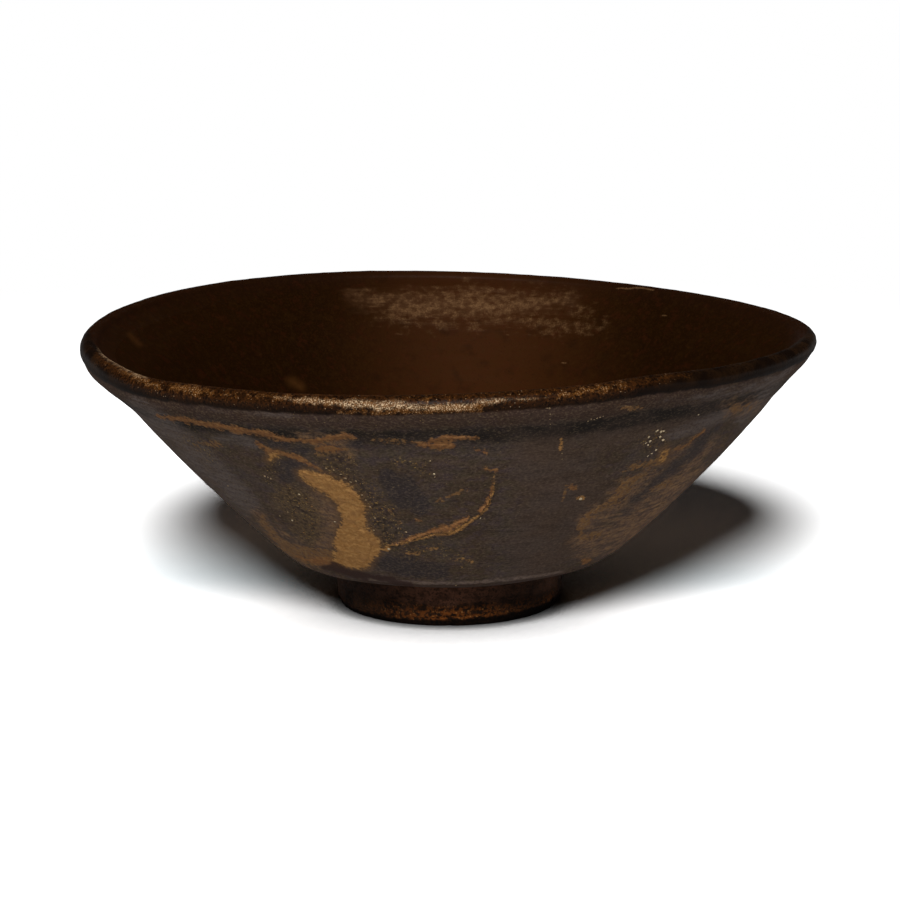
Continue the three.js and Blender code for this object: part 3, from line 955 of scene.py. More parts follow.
# Painted highlight of the heel, and a dark colour for dark glaze at the heel and for painted shade under
# its highlight
HEEL_HIGHLIGHT = linear(112, 95, 86)
HEEL_DARK_AND_SHADE = linear(48, 33, 29)
TREACLE = linear(35, 21, 10)
TREACLE_DARK = linear(17, 9, 5)
TREACLE_WARM = linear(60, 33, 12)
OCHRE = linear(116, 73, 30)
# Colour of the painted glints on the lip
PAINTED_GLINT = linear(212, 186, 150)
LIP_HIGHLIGHT_TAN = linear(124, 88, 54)
# Tan ground of the painted highlight on the lip
GLAZE_PLUM = linear(64, 52, 54)
GLAZE_OLIVE = linear(66, 56, 42)
STAIN_PALE = linear(122, 93, 60)
# Painted shade at the foot's bottom edge
FOOT_CONTACT_SHADE = linear(7, 5, 4)
INNER_BROWN = linear(25, 11, 2)
INNER_DARK = linear(20, 9, 3)
# Lighter, warmer brown of the painted sheen inside
INNER_PAINTED_SHEEN = linear(52, 26, 8)
INNER_OLIVE = linear(48, 28, 8)
INNER_RED = linear(34, 16, 10)
INNER_FLUSH = linear(56, 23, 10)
# Pale of the worn glaze and of the painted highlight on it, also used for pale lines on the rim
WORN_AND_HIGHLIGHT_PALE = linear(128, 95, 62)
PATCH_AND_HIGHLIGHT_BROWN = linear(70, 46, 28)
SPOT_ORANGE = linear(76, 46, 20)
FOOT_BROWN = linear(34, 21, 12)
FOOT_DARK = linear(14, 9, 6)
FOOT_GRIT = linear(92, 50, 18)
FOOT_TOP = linear(84, 55, 41)
FOOT_PALE = linear(122, 84, 46)
WASH_MAUVE = linear(30, 19, 15)
CLAY_BROWN = linear(120, 88, 62)
OUTER_GLOSS = 0.12
LIP_GLOSS = 0.09
INNER_GLOSS = 0.07
BARE_ROUGHNESS = 0.85
FOOT_SPECULAR = 0.03


def outer_noises(paint):
    """The noises of the outer glaze, from large to small"""
    spots, kind = paint.grains(0.42, 6)
    return SimpleNamespace(
        mottle=paint.noise(8, 1, 3),
        cloud=paint.noise(4.5, 7, 3, (0.6, 0.6, 1.3)),
        lump=paint.noise(2.4, 4, 4),
        streaks=paint.noise(1.6, 2, 4, (0.28, 0.28, 2.2), 0.62),
        tint=paint.noise(1.5, 8, 4, (0.8, 0.8, 1.2), 0.6),
        fray=paint.noise(0.75, 5, 4, EVEN, 0.6),
        grain=paint.noise(0.42, 3, 3, (0.8, 0.8, 1.3), 0.65),
        spots=spots,
        kind=kind,
    )


def lay_ground(paint, n, busy):
    """Brown and grey glaze, with a dark band and a mauve one under the lip"""
    paint.colour = paint.mix(paint.ramp(n.mottle, 0.38, 0.62), GLAZE_BROWN, GLAZE_GREY)
    paint.over(GLAZE_MAUVE, paint.ramp(n.cloud, 0.46, 0.7, 0, 0.7))
    paint.over(GLAZE_MAUVE, paint.math("MULTIPLY_ADD", busy, -0.5, 0.5))
    paint.over(GLAZE_OLIVE, busy, paint.ramp(n.tint, 0.5, 0.64, 0, 0.6))
    paint.over(GLAZE_PLUM, busy, paint.ramp(n.tint, 0.5, 0.36, 0, 0.6))
    paint.over(GLAZE_DARK, paint.ramp(n.streaks, 0.46, 0.68, 0, 0.3))
    roll = paint.plus(paint.field("roll"), paint.swung(n.lump, 2.4))
    blue = paint.times(paint.ramp(roll, -9.4, -6.4), paint.ramp(roll, -4.6, -2.8, 1, 0))
    paint.over(BAND_BLUE, blue, paint.ramp(n.cloud, 0.35, 0.6, 0.95, 0.65))
    paint.over(BAND_MAUVE, paint.ramp(roll, -4.4, -2.4, 0, 0.7))


def lay_broad_marks(paint, n, slate):
    """Lavender haze that is partly a painted sheen on the flanks, the olive oval, earthy patches and slate
    stripes
    """
    # Lavender glaze and painted sheen
    lavender = paint.ragged("lavender", [(n.streaks, 12), (n.fray, 6)], 5)
    paint.over(LAVENDER_AND_SHEEN, lavender, paint.ramp(n.streaks, 0.35, 0.62, 0.3, 0.75))
    oval = paint.ragged("oval", [(n.lump, 14), (n.fray, 9)], 7)
    paint.over(OVAL_OLIVE, oval, paint.ramp(n.fray, 0.34, 0.62, 0.3, 0.9))
    paint.over(GRIT_OLIVE, oval, paint.ramp(n.grain, 0.54, 0.66, 0, 0.5))
    grainy = paint.plus(n.fray, paint.swung(n.tint, 1.2))
    earth = paint.mix(paint.ramp(grainy, 0.26, 0.8), EARTH_DARK, EARTH_PALE)
    earth = paint.mix(paint.ramp(n.streaks, 0.52, 0.36, 0, 0.7), earth, GLAZE_MAUVE)
    brown = paint.ragged("brown", [(n.streaks, 24), (n.lump, 18)], 11)
    paint.over(earth, brown, paint.ramp(n.streaks, 0.35, 0.6, 0.4, 0.85))
    haze = paint.ragged("haze", [(n.lump, 20), (n.fray, 14), (n.streaks, 10)], 7)
    paint.over(earth, haze, paint.ramp(n.lump, 0.3, 0.6, 0.4, 0.8))
    paint.over(GLAZE_SLATE, slate, 0.75)


def lay_grain(paint, n, busy):
    """Pale and dark grain all over, with sparse flecks where the glaze is busy"""
    loud = paint.blend(busy, 0.8, 1)
    paint.over(GLAZE_PALE, loud, paint.ramp(n.grain, 0.5, 0.68, 0, 0.38))
    paint.over(GLAZE_DARK, loud, paint.ramp(n.grain, 0.5, 0.34, 0, 0.5))
    fleck = paint.times(paint.ramp(n.spots, 0.2, 0.36, 1, 0), paint.ramp(n.kind, 0.9, 0.94, 0, 0.35))
    paint.over(GRIT_PALE, fleck, busy, paint.ramp(n.lump, 0.46, 0.6))


def lay_heel_highlight(paint, n):
    """A painted highlight along the heel, and painted shade on the glaze under it"""
    edge = paint.plus(paint.field("along"), paint.swung(n.lump, 1.4))
    line = paint.times(paint.ramp(edge, 8.5, 9.1), paint.ramp(edge, 10.3, 9.6))
    front = paint.ragged("heel_line", [(n.fray, 6)], 3)
    paint.over(HEEL_HIGHLIGHT, front, line, paint.ramp(n.fray, 0.36, 0.6, 0.15, 0.6))
    # Painted shade under the heel's highlight
    paint.over(HEEL_DARK_AND_SHADE, front, paint.ramp(edge, 9.0, 8.5, 0, 0.45))


def lay_stains(paint, n, stain, rust):
    pale = paint.mix(paint.ramp(n.grain, 0.5, 0.64), STAIN, STAIN_PALE)
    paint.over(pale, stain, paint.ramp(n.fray, 0.4, 0.56, 0.15, 0.95))
    pale = paint.mix(paint.ramp(n.fray, 0.45, 0.7), RUST, RUST_PALE)
    paint.over(pale, rust, paint.ramp(n.grain, 0.3, 0.55, 0.5, 0.95))


def lay_grit(paint, n):
    """Dots of grit in a darker and more olive zone. Gives the dots' share."""
    zone = paint.ragged("grit", [(n.lump, 14), (n.fray, 16)], 9)
    dot = paint.times(paint.ramp(n.spots, 0.3, 0.5, 1, 0), paint.ramp(n.kind, 0.35, 0.45))
    grit = paint.times(zone, dot, paint.ramp(n.fray, 0.44, 0.56))
    paint.over(GLAZE_DARK, zone, paint.ramp(n.fray, 0.5, 0.4, 0, 0.6))
    paint.over(OVAL_OLIVE, zone, paint.ramp(n.fray, 0.48, 0.58, 0, 0.6))
    paint.over(paint.mix(paint.ramp(n.kind, 0.78, 0.88), GRIT_OLIVE, GRIT_PALE), grit, 0.8)
    return grit


def lay_tan(paint, n, tan):
    """Tan crust with a stained halo round it"""
    near = paint.plus(paint.field("tan"), paint.swung(n.lump, 14))
    paint.over(STAIN, paint.ramp(near, -9, 2, 0, 0.5))
    crust = paint.mix(paint.ramp(n.fray, 0.38, 0.66), TAN, TAN_PALE)
    crust = paint.mix(paint.ramp(n.grain, 0.48, 0.34, 0, 0.6), crust, RUST)
    crust = paint.mix(paint.ramp(n.lump, 0.5, 0.34, 0, 0.6), crust, RUST_PALE)
    paint.over(crust, tan, 0.93)


def outer_look(paint):
    """Dark brown and grey glaze with ochre stains, grit and a bluish band under the lip, with a painted
    sheen on the flanks and a painted highlight and shade at the heel
    """
    n = outer_noises(paint)
    busy = paint.math("SUBTRACT", 1, paint.ragged("calm", [(n.mottle, 40), (n.lump, 20)], 14))
    slate = paint.ragged("slate", [(n.lump, 14), (n.fray, 9)], 2.6)
    stain = paint.ragged("stain", [(n.lump, 7), (n.fray, 12), (n.streaks, 5)], 1.4)
    rust = paint.ragged("rust", [(n.lump, 6), (n.fray, 8), (n.grain, 4)], 1.3)
    tan = paint.ragged("tan", [(n.lump, 7), (n.fray, 13), (n.grain, 6)], 1.4)
    tan = paint.math("MAXIMUM", tan, paint.ragged("dab", [(n.fray, 4), (n.grain, 5)], 1.1))
    lay_ground(paint, n, busy)
    lay_broad_marks(paint, n, slate)
    lay_grain(paint, n, busy)
    lay_heel_highlight(paint, n)
    lay_stains(paint, n, stain, rust)
    grit = lay_grit(paint, n)
    lay_tan(paint, n, tan)
    paint.over(HEEL_DARK_AND_SHADE, paint.ragged("heel_dark", [(n.lump, 6), (n.fray, 5)], 1.6), 0.9)
    height = paint.plus(paint.times(n.streaks, 0.05), paint.times(n.grain, 0.07), paint.times(grit, 0.1))
    height = paint.plus(height, paint.times(tan, n.fray, 0.1))
    height = paint.plus(height, paint.times(paint.plus(rust, stain), n.fray, 0.06))
    return paint.colour, paint.blend(tan, paint.blend(slate, 0.58, 0.46), 0.85), height


def lip_look(paint):
    """Treacle-brown glaze that broke into ochre specks on the front, with a painted highlight and painted
    glints along the front of the roll
    """
    cloud = paint.noise(5, 11, 3)
    patches = paint.noise(1.1, 14, 3, EVEN, 0.6)
    fine = paint.noise(0.42, 12, 3, EVEN, 0.62)
    glint = paint.noise(0.22, 15, 2, EVEN, 0.6)
    spots, kind = paint.grains(0.36, 13)
    zone = paint.ragged("lip_grit", [(cloud, 12), (fine, 6)], 6)
    gold = paint.ragged("gold", [(fine, 10), (patches, 16)], 3.4)
    frost = paint.ragged("frost", [(cloud, 6), (patches, 6)], 3)
    dots = paint.times(paint.ramp(spots, 0.26, 0.44, 1, 0), paint.ramp(kind, 0.5, 0.65))
    dots = paint.times(dots, paint.ramp(patches, 0.42, 0.58))
    sparse = paint.times(paint.ramp(spots, 0.14, 0.26, 1, 0), paint.ramp(kind, 0.93, 0.96))
    paint.colour = paint.mix(paint.ramp(cloud, 0.4, 0.62), TREACLE_DARK, TREACLE)
    paint.over(TREACLE_WARM, zone, paint.ramp(fine, 0.36, 0.6, 0.1, 0.9))
    paint.over(OCHRE, zone, dots, 0.6)
    paint.over(TREACLE_DARK, paint.ramp(patches, 0.5, 0.36, 0, 0.5))
    paint.over(TREACLE_DARK, paint.ramp(fine, 0.48, 0.38, 0, 0.55))
    paint.over(TREACLE_DARK, paint.ramp(paint.field("roll"), 0.4, 2.6, 0.65, 0))
    paint.over(OCHRE, gold, paint.ramp(glint, 0.4, 0.6, 0.1, 0.85))
    # Painted highlight: a tan ground with painted glints on it
    paint.over(LIP_HIGHLIGHT_TAN, frost, paint.ramp(fine, 0.36, 0.62, 0.3, 0.8))
    paint.over(PAINTED_GLINT, frost, paint.ramp(glint, 0.5, 0.62, 0, 0.8))
    # Painted glints over the gold specks and scattered over the speckled zone
    paint.over(PAINTED_GLINT, gold, paint.ramp(glint, 0.6, 0.68, 0, 0.6))
    paint.over(PAINTED_GLINT, zone, sparse, 0.5)
    height = paint.times(zone, paint.plus(paint.times(fine, 0.09), paint.times(dots, 0.04)))
    return paint.colour, paint.ramp(fine, 0.3, 0.7, 0.24, 0.42), height


def inner_look(paint):
    """Dark warm brown glaze, lighter round the middle as a painted sheen, with a worn gritty patch on the
    back wall that is partly a painted highlight
    """
    mottle = paint.noise(3, 22, 3)
    flush = paint.noise(1.8, 26, 4, EVEN, 0.65)
    streaks = paint.noise(1.4, 24, 4, (0.25, 0.25, 2.0), 0.6)
    blotch = paint.noise(1.3, 25, 3)
    fine = paint.noise(0.32, 23, 3, EVEN, 0.62)
    # Painted sheen: the ground colour turns lighter and warmer towards the middle
    paint.colour = paint.mix(paint.ramp(paint.field("glow"), -60, 110), INNER_BROWN, INNER_PAINTED_SHEEN)
    paint.over(INNER_OLIVE, paint.ramp(blotch, 0.54, 0.7, 0, 0.2))
    paint.over(INNER_OLIVE, paint.ramp(fine, 0.5, 0.36, 0, 0.3))
    paint.over(INNER_DARK, paint.ramp(mottle, 0.5, 0.75, 0, 0.35))
    paint.over(INNER_DARK, paint.ramp(fine, 0.58, 0.72, 0, 0.55))
    paint.over(INNER_FLUSH, paint.ramp(flush, 0.5, 0.7, 0, 0.25))
    paint.over(INNER_OLIVE, paint.ramp(flush, 0.5, 0.34, 0, 0.18))
    edge = paint.plus(paint.field("flare"), paint.swung(mottle, 5))
    paint.over(INNER_RED, paint.ramp(edge, 0.5, 7, 0.35, 0))
    # Worn gritty patch on the back wall, partly worn glaze and partly a painted highlight
    patch = paint.ragged("patch", [(mottle, 14), (streaks, 30)], 15, 4)
    paint.over(PATCH_AND_HIGHLIGHT_BROWN, patch, paint.ramp(blotch, 0.34, 0.66, 0.45, 0.95))
    worn = paint.ragged("worn", [(blotch, 30), (fine, 12), (streaks, 36)], 15, 5)
    worn_grain = paint.ramp(fine, 0.3, 0.74, 0.18, 0.6)
    paint.over(WORN_AND_HIGHLIGHT_PALE, worn, worn_grain, paint.ramp(blotch, 0.36, 0.64, 0.35, 1))
    paint.over(WORN_AND_HIGHLIGHT_PALE, paint.ragged("rim_line", [(fine, 2)], 0.7), 0.4)
    paint.over(SPOT_ORANGE, paint.ragged("spot", [(mottle, 6), (fine, 6)], 6), 0.55)
    height = paint.plus(paint.times(streaks, 0.035), paint.times(fine, 0.02))
    height = paint.plus(height, paint.times(worn, fine, 0.1))
    return paint.colour, paint.blend(patch, 0.42, 0.65), height


def joined_looks(paint, share, first, second):
    colour = paint.mix(share, first[0], second[0])
    return colour, paint.blend(share, first[1], second[1]), paint.blend(share, first[2], second[2])


def below_lip(paint):
    """How much of the lip's glaze covers the outer glaze near their line"""
    drift = paint.swung(paint.noise(3, 31, 3), 1.2)
    return paint.ramp(paint.plus(paint.field("roll"), drift), -0.35, 0.35)


def past_lip(paint):
    """How much of the inner glaze shows past the lip's roll"""
    drift = paint.swung(paint.noise(2, 32, 3), 1.4)
    return paint.ramp(paint.plus(paint.field("flare"), drift), -0.3, 0.6)


def outer_paint():
    paint = new_paint("outer_glaze")
    look = joined_looks(paint, below_lip(paint), outer_look(paint), lip_look(paint))
    return paint.done(look, gloss=OUTER_GLOSS)


def lip_paint():
    paint = new_paint("lip_glaze")
    look = joined_looks(paint, below_lip(paint), outer_look(paint), lip_look(paint))
    look = joined_looks(paint, past_lip(paint), look, inner_look(paint))
    return paint.done(look, gloss=LIP_GLOSS)


def inner_paint():
    paint = new_paint("inner_glaze")
    look = joined_looks(paint, past_lip(paint), lip_look(paint), inner_look(paint))
    return paint.done(look, gloss=INNER_GLOSS)


def crust_paint():
    paint = new_paint("ochre_crust")
    return paint.done(outer_look(paint), gloss=OUTER_GLOSS)


def crumb_paint():
    """Olive and ochre grains, with paler ones among them"""
    paint = new_paint("crumbs")
    fine = paint.noise(0.6, 45, 2)
    grain = paint.noise(0.15, 46, 2)
    paint.colour = paint.mix(paint.ramp(fine, 0.4, 0.6), GRIT_OLIVE, STAIN)
    paint.over(FLECK_PALE, paint.field("pale"))
    paint.over(GLAZE_BROWN, paint.ramp(grain, 0.5, 0.7, 0, 0.5))
    return paint.done((paint.colour, BARE_ROUGHNESS, paint.times(grain, 0.03)), specular=0.1)


def foot_look(paint):
    """Dark washed clay whose worn lower edge shows orange grit, with painted shade along the bottom edge"""
    cloud = paint.noise(5, 51, 3)
    patches = paint.noise(1.5, 57, 3, (0.7, 0.7, 1.3), 0.6)
    turning = paint.noise(1.2, 52, 3, (0.25, 0.25, 2.4))
    rough = paint.noise(0.7, 58, 3, EVEN, 0.6)
    fine = paint.noise(0.35, 53, 3)
    spots, kind = paint.grains(0.5, 54)
    above = paint.plus(paint.field("height"), paint.swung(cloud, 3))
    low = paint.times(paint.ramp(above, 1.6, 5.2, 1, 0), paint.field("warm"))
    grit = paint.times(low, paint.ramp(patches, 0.38, 0.52, 0.15, 1))
    dots = paint.times(paint.ramp(spots, 0.2, 0.4, 1, 0), paint.ramp(kind, 0.62, 0.72))
    ground = paint.plus(paint.field("clear"), paint.swung(patches, 0.8))
    paint.colour = paint.mix(paint.ramp(cloud, 0.4, 0.6), FOOT_DARK, FOOT_BROWN)
    paint.over(WASH_MAUVE, paint.ramp(turning, 0.45, 0.65, 0, 0.6))
    top_zone = paint.times(paint.ramp(above, 3.4, 5.2), paint.field("red"))
    paint.over(FOOT_TOP, top_zone, paint.ramp(patches, 0.38, 0.56, 0.4, 1))
    paint.over(FOOT_GRIT, grit, paint.ramp(rough, 0.4, 0.56))
    paint.over(FOOT_PALE, grit, dots, 0.85)
    paint.over(FOOT_DARK, paint.ramp(fine, 0.48, 0.36, 0, 0.6))
    # Painted shade along the bottom edge, where the foot meets the ground
    paint.over(FOOT_CONTACT_SHADE, paint.ramp(ground, 0.5, -0.1, 0, 0.95))
    height = paint.plus(paint.times(turning, 0.1), paint.times(fine, 0.1))
    return paint.colour, paint.ramp(fine, 0.3, 0.7, 0.5, 0.75), height


def foot_paint():
    paint = new_paint("foot_clay")
    washed = foot_look(paint)
    rough = paint.noise(0.4, 56, 3)
    paint.colour = paint.mix(paint.ramp(paint.noise(4, 55, 4), 0.35, 0.65), FOOT_BROWN, CLAY_BROWN)
    paint.over(FOOT_DARK, paint.ramp(rough, 0.55, 0.7, 0, 0.6))
    bare = (paint.colour, BARE_ROUGHNESS, paint.times(rough, 0.1))
    under = paint.ramp(paint.field("under"), 0.0, 1.0)
    return paint.done(joined_looks(paint, under, washed, bare), specular=FOOT_SPECULAR)


def wash_paint():
    paint = new_paint("dark_wash")
    return paint.done(foot_look(paint), specular=FOOT_SPECULAR)


def clay_paint():
    paint = new_paint("stoneware")
    fine = paint.noise(0.4, 62, 3)
    paint.colour = paint.mix(paint.ramp(paint.noise(5, 61, 3), 0.4, 0.6), FOOT_BROWN, CLAY_BROWN)
    paint.over(FOOT_DARK, paint.ramp(fine, 0.5, 0.7, 0, 0.5))
    return paint.done((paint.colour, BARE_ROUGHNESS, paint.times(fine, 0.08)), specular=0.2)


# Pieces
FRONT_SHARE = 0.35
FOOT_FRONT_SHARE = 0.25
OUTER_STEPS = 880
LIP_STEPS = 1000
INNER_STEPS = 800
FOOT_STEPS = 640
CLAY_GAP = 0.01


def make_coat(node, name, stations, hidden, angles, makers, paint):
    rows, distances = coat_rows(stations, hidden, angles)
    points = np.concatenate(rows)
    fields = {}
    for make in makers:
        fields.update(make(points, distances))
    finished(mesh_object(name, points, turned_faces(rows), fields), paint, node)


def make_outer_glaze():
    edge = np.array([0, 0.15, 0.35, 0.6, 0.9, 1.3, 1.8, 2.4, 3.1, 3.9])
    stations = np.concatenate([edge, np.linspace(4.6, LIP_START, 92)])
    hidden = np.linspace(LIP_START, 0.0, 7)
    angles = round_steps(OUTER_STEPS, FRONT_SHARE)
    makers = (outer_fields, lip_fields)
    make_coat("outer_glaze", "outer_glaze_coat", stations, hidden, angles, makers, outer_paint())


def make_lip_glaze():
    stations = np.concatenate([
        np.linspace(LIP_START, LIP_END, 50),
        np.linspace(LIP_END, INNER_START, 14)[1:],
    ])
    hidden = np.linspace(INNER_START, LIP_START, 12)
    angles = round_steps(LIP_STEPS, FRONT_SHARE)
    makers = (outer_fields, inner_fields, lip_fields)
    make_coat("lip_glaze", "lip_glaze_roll", stations, hidden, angles, makers, lip_paint())


def make_inner_glaze():
    stations = np.linspace(INNER_START, SKIN_END, 112)
    hidden = np.linspace(SKIN_END, INNER_START, 9)
    angles = round_steps(INNER_STEPS, -FRONT_SHARE)
    makers = (lip_fields, inner_fields)
    make_coat("inner_glaze", "inner_glaze_coat", stations, hidden, angles, makers, inner_paint())


def clay_face(along, angle):
    return bare_skin(along, angle, coat_depth(along) + CLAY_GAP)


def make_clay_body():
    angles = round_steps(FOOT_STEPS, 0.0)
    height = np.full(len(angles), FOOT_HEIGHT)
    rows = [np.array([[0.0, 0.0, FOOT_HEIGHT]])]
    for radius in (6.0, 13.0, FOOT_TOP_RADIUS):
        rows.append(warped(np.full(len(angles), radius), height, angles))
    stations = np.concatenate([
        np.linspace(0, 8, 12),
        np.linspace(9, LIP_START, 18),
        np.linspace(LIP_START, LIP_END, 14)[1:],
        np.linspace(LIP_END, SKIN_END, 24)[1:],
    ])
    rows += [section_row(along, angles, clay_face)[0] for along in stations]
    piece = mesh_object("clay_body_cone", np.concatenate(rows), turned_faces(rows))
    finished(piece, clay_paint(), "clay_body")


# Foot. Warm and red spots are (share, angle, spread), and raised marks (height, size, seed)
WARM_LEAST = 0.03
WARM_SPOTS = [(0.97, -86, 33), (0.5, -27, 7), (0.5, 90, 70)]
RED_LEAST = 0.1
RED_SPOTS = [(0.9, -92, 30), (0.3, -30, 8)]
WEAR_SHADE = 0.8
UNDER_EDGE = (17.2, 18.6)
WORN_ROUNDING = 0.45
SPIRAL_STEP = 1.5
SPIRAL_HEIGHT = 0.07
RECESS_MARKS = (0.05, 2.5, 71)
CHIPS = (0.5, 2.4, 72)
CHIP_LIFT = 0.4
PITS = (0.12, 0.9, 73)
RAGGED_EDGE = (0.3, 3.0, 81)
RAGGED_LEAST = 0.2
RAGGED_RADIUS = 18
WASH_MARKS = (0.03, 1.1, 82)
WASH_GRAIN = (0.02, 1.2, 83)
WASH_THIN = 0.25
WASH_THIN_END = 0.08


def edge_wear(angle):
    right = (1 + np.cos(angle - math.radians(EDGE_WEAR_ANGLE))) / 2
    return EDGE_WEAR_LEFT + (EDGE_WEAR_RIGHT - EDGE_WEAR_LEFT) * right * right


def spotted(angle, least, spots):
    total = least + sum(share * nearness(angle, middle, spread) for share, middle, spread in spots)
    return np.clip(total, 0, 1)


def foot_fields(points):
    """Heights above the ground and the worn edge, how warm and red the clay is, and the underside"""
    radius = np.hypot(points[:, 0], points[:, 1])
    angle = np.arctan2(points[:, 1], points[:, 0])
    return {
        "height": points[:, 2],
        "clear": points[:, 2] - WEAR_SHADE * edge_wear(angle),
        "warm": spotted(angle, WARM_LEAST, WARM_SPOTS),
        "red": spotted(angle, RED_LEAST, RED_SPOTS),
        "under": 1 - fade(radius, *UNDER_EDGE),
    }


def foot_section(wear):
    """Radii and heights round the foot's section, from the recess over the ground to its top"""
    def shares(count):
        return np.linspace(0, 1, count)[1:]

    side = FOOT_RADIUS - WASH_THICKNESS
    roof = RECESS_RADIUS - RECESS_TAPER
    flat_start = RECESS_RADIUS + RING_INNER_BEVEL
    top = wear + WASH_EDGE_GAP
    section = [(roof * share, RECESS_DEPTH - RECESS_CONE * (1 - share)) for share in shares(34)]
    for share in shares(9):
        drop = (RECESS_DEPTH - RING_INNER_BEVEL) * share
        section.append((RECESS_RADIUS - RECESS_TAPER * (1 - share), RECESS_DEPTH - drop))
    for turn in np.linspace(0, math.pi / 2, 6)[1:]:
        radius = RECESS_RADIUS + RING_INNER_BEVEL * (1 - math.cos(turn))
        section.append((radius, RING_INNER_BEVEL * (1 - math.sin(turn))))
    section += [(flat_start + (side - wear / 2 - flat_start) * share, 0) for share in shares(8)]
    for share in shares(14):
        pull = 2 * share * (1 - share) * WORN_ROUNDING
        radius = side - wear / 2 * (1 - share) + wear / 4 * pull
        section.append((radius, wear * share - wear / 2 * pull))
    for share in np.linspace(0, 1, 14):
        section.append((side + FOOT_FLARE * share, top + (FOOT_HEIGHT - top) * share))
    return section


def foot_relief(points, radius, angles):
    """Turning marks in the recess, and chips along the worn edge. Nothing goes below the ground."""
    z = points[:, 2]
    spiral = SPIRAL_HEIGHT * np.sin(radius * 2 * math.pi / SPIRAL_STEP + angles)
    recess = 1 - fade(radius, RECESS_RADIUS - 1.2, RECESS_RADIUS - 0.4)
    rise = recess * (spiral + raised(points, RECESS_MARKS, 2)) * fade(radius, 0, 2)
    low = (1 - fade(z, 1.8, 3.0)) * fade(radius, RECESS_RADIUS + 0.2, RECESS_RADIUS + 1)
    chips = low * np.clip(lumps(points, *CHIPS[1:], 2) - 0.35, 0, 1) * CHIPS[0]
    pits = low * np.clip(lumps(points, *PITS[1:]) - 0.2, 0, 1) * PITS[0]
    inward = chips * fade(radius, 18, 19.5)
    scale = (radius - inward) / np.maximum(radius, TINY)
    moved = points * np.stack([scale, scale, np.ones_like(scale)], axis=-1)
    moved[:, 2] = np.maximum(z + rise + pits + chips * CHIP_LIFT * (z < FOOT_HEIGHT - 1), 0)
    return moved


def make_foot_ring():
    angles = round_steps(FOOT_STEPS, FOOT_FRONT_SHARE)
    rows = [np.array([[0.0, 0.0, RECESS_DEPTH - RECESS_CONE]])]
    for radius, height in foot_section(edge_wear(angles)):
        radius = radius + angles * 0
        points = warped(radius, height + angles * 0, angles)
        rows.append(foot_relief(points, radius, angles))
    rows.append(np.array([[0.0, 0.0, FOOT_HEIGHT]]))
    points = np.concatenate(rows)
    piece = mesh_object("foot_ring_turned", points, turned_faces(rows), foot_fields(points))
    finished(piece, foot_paint(), "foot_ring")


def make_foot_wash():
    angles = round_steps(FOOT_STEPS, FOOT_FRONT_SHARE)
    wear = edge_wear(angles)
    side = FOOT_RADIUS - WASH_THICKNESS
    round_edge = np.stack([np.cos(angles), np.sin(angles), angles * 0], axis=-1) * RAGGED_RADIUS
    ragged = RAGGED_LEAST + raised(round_edge, RAGGED_EDGE, 3)
    bottom = wear + WASH_EDGE_GAP + np.maximum(ragged, 0)

    def wall(share):
        height = bottom + (FOOT_HEIGHT - bottom) * share
        return side + FOOT_FLARE * (height - wear) / (FOOT_HEIGHT - wear), height

    rows = []
    for share in np.concatenate([[0, 0.015, 0.04, 0.08], np.linspace(0.13, 1, 26)]):
        radius, height = wall(share)
        coat = WASH_THICKNESS * (WASH_THIN + (1 - WASH_THIN) * min(share / WASH_THIN_END, 1) ** 0.5)
        turning = np.stack([height, 5 * np.cos(angles), 5 * np.sin(angles)], axis=-1)
        marks = raised(turning * (1, 0.4, 0.4), WASH_MARKS) + raised(turning * 2, WASH_GRAIN)
        most = WASH_GRAIN[0]
        rows.append(warped(radius + coat + np.minimum(marks, most) - most, height, angles))
    rows += [warped(*wall(share), angles) for share in (1, 0.5, 0)]
    points = np.concatenate(rows)
    piece = mesh_object("foot_wash_coat", points, turned_faces(rows), foot_fields(points))
    finished(piece, wash_paint(), "foot_wash")


# Crusts: routes of (across, down, half width) in pixels
CRUSTS = {
    "crescent_crust": [
        (300, 473, 4), (310, 478, 8), (322, 484, 10), (334, 491, 13), (345, 500, 15), (352, 510, 16),
        (353, 519, 15), (350, 530, 16), (350, 541, 22), (350, 549, 23), (347, 557, 20), (345, 563, 14),
    ],
    "ridge_crust": [
        (381, 547, 2), (404, 542, 3.4), (420, 537.5, 4.4), (437, 533, 5.4), (452, 528.5, 5.8),
        (466, 522.5, 5), (477, 514, 4), (486, 505, 3.6), (492, 495, 3), (495, 483, 2.4), (495.5, 470, 2.2),
    ],
    "streak_crust": [
        (170, 418, 2), (190, 421, 4), (214, 425, 5.4), (238, 430, 6), (262, 434.5, 5.6), (290, 440, 5.4),
        (312, 442, 6), (330, 439, 7), (346, 437, 5.4), (362, 438, 2),
    ],
    "island_crust": [
        (404, 443, 2), (414, 444, 4), (428, 443, 7), (442, 442, 8), (455, 442, 7), (466, 438, 3),
        (480, 437, 2),
    ],
    "scatter_crust": [
        (702, 433, 2), (688, 444, 3.4), (668, 455, 6), (650, 464, 7), (636, 475, 7), (625, 488, 9),
        (615, 500, 8), (598, 511, 6), (586, 521, 6), (580, 532, 5),
    ],
}
CREST_HEIGHTS = {
    "crescent_crust": 0.16,
    "ridge_crust": 0.5,
    "streak_crust": 0.12,
    "island_crust": 0.16,
    "scatter_crust": 0.12,
}
CRUST_CELL = 0.8
CRUST_ROOT = 0.3
CRUST_SUNK = 0.12
CRUST_FRAY = [(1.2, 1.3, 91, 3), (0.9, 0.5, 92, 1)]
CRUST_ROUGH = [(0.45, 1.3, 93, 2), (0.3, 0.35, 94, 1)]
ROUTE_EASING = 7
FAR_BELOW_LIP = -20.0


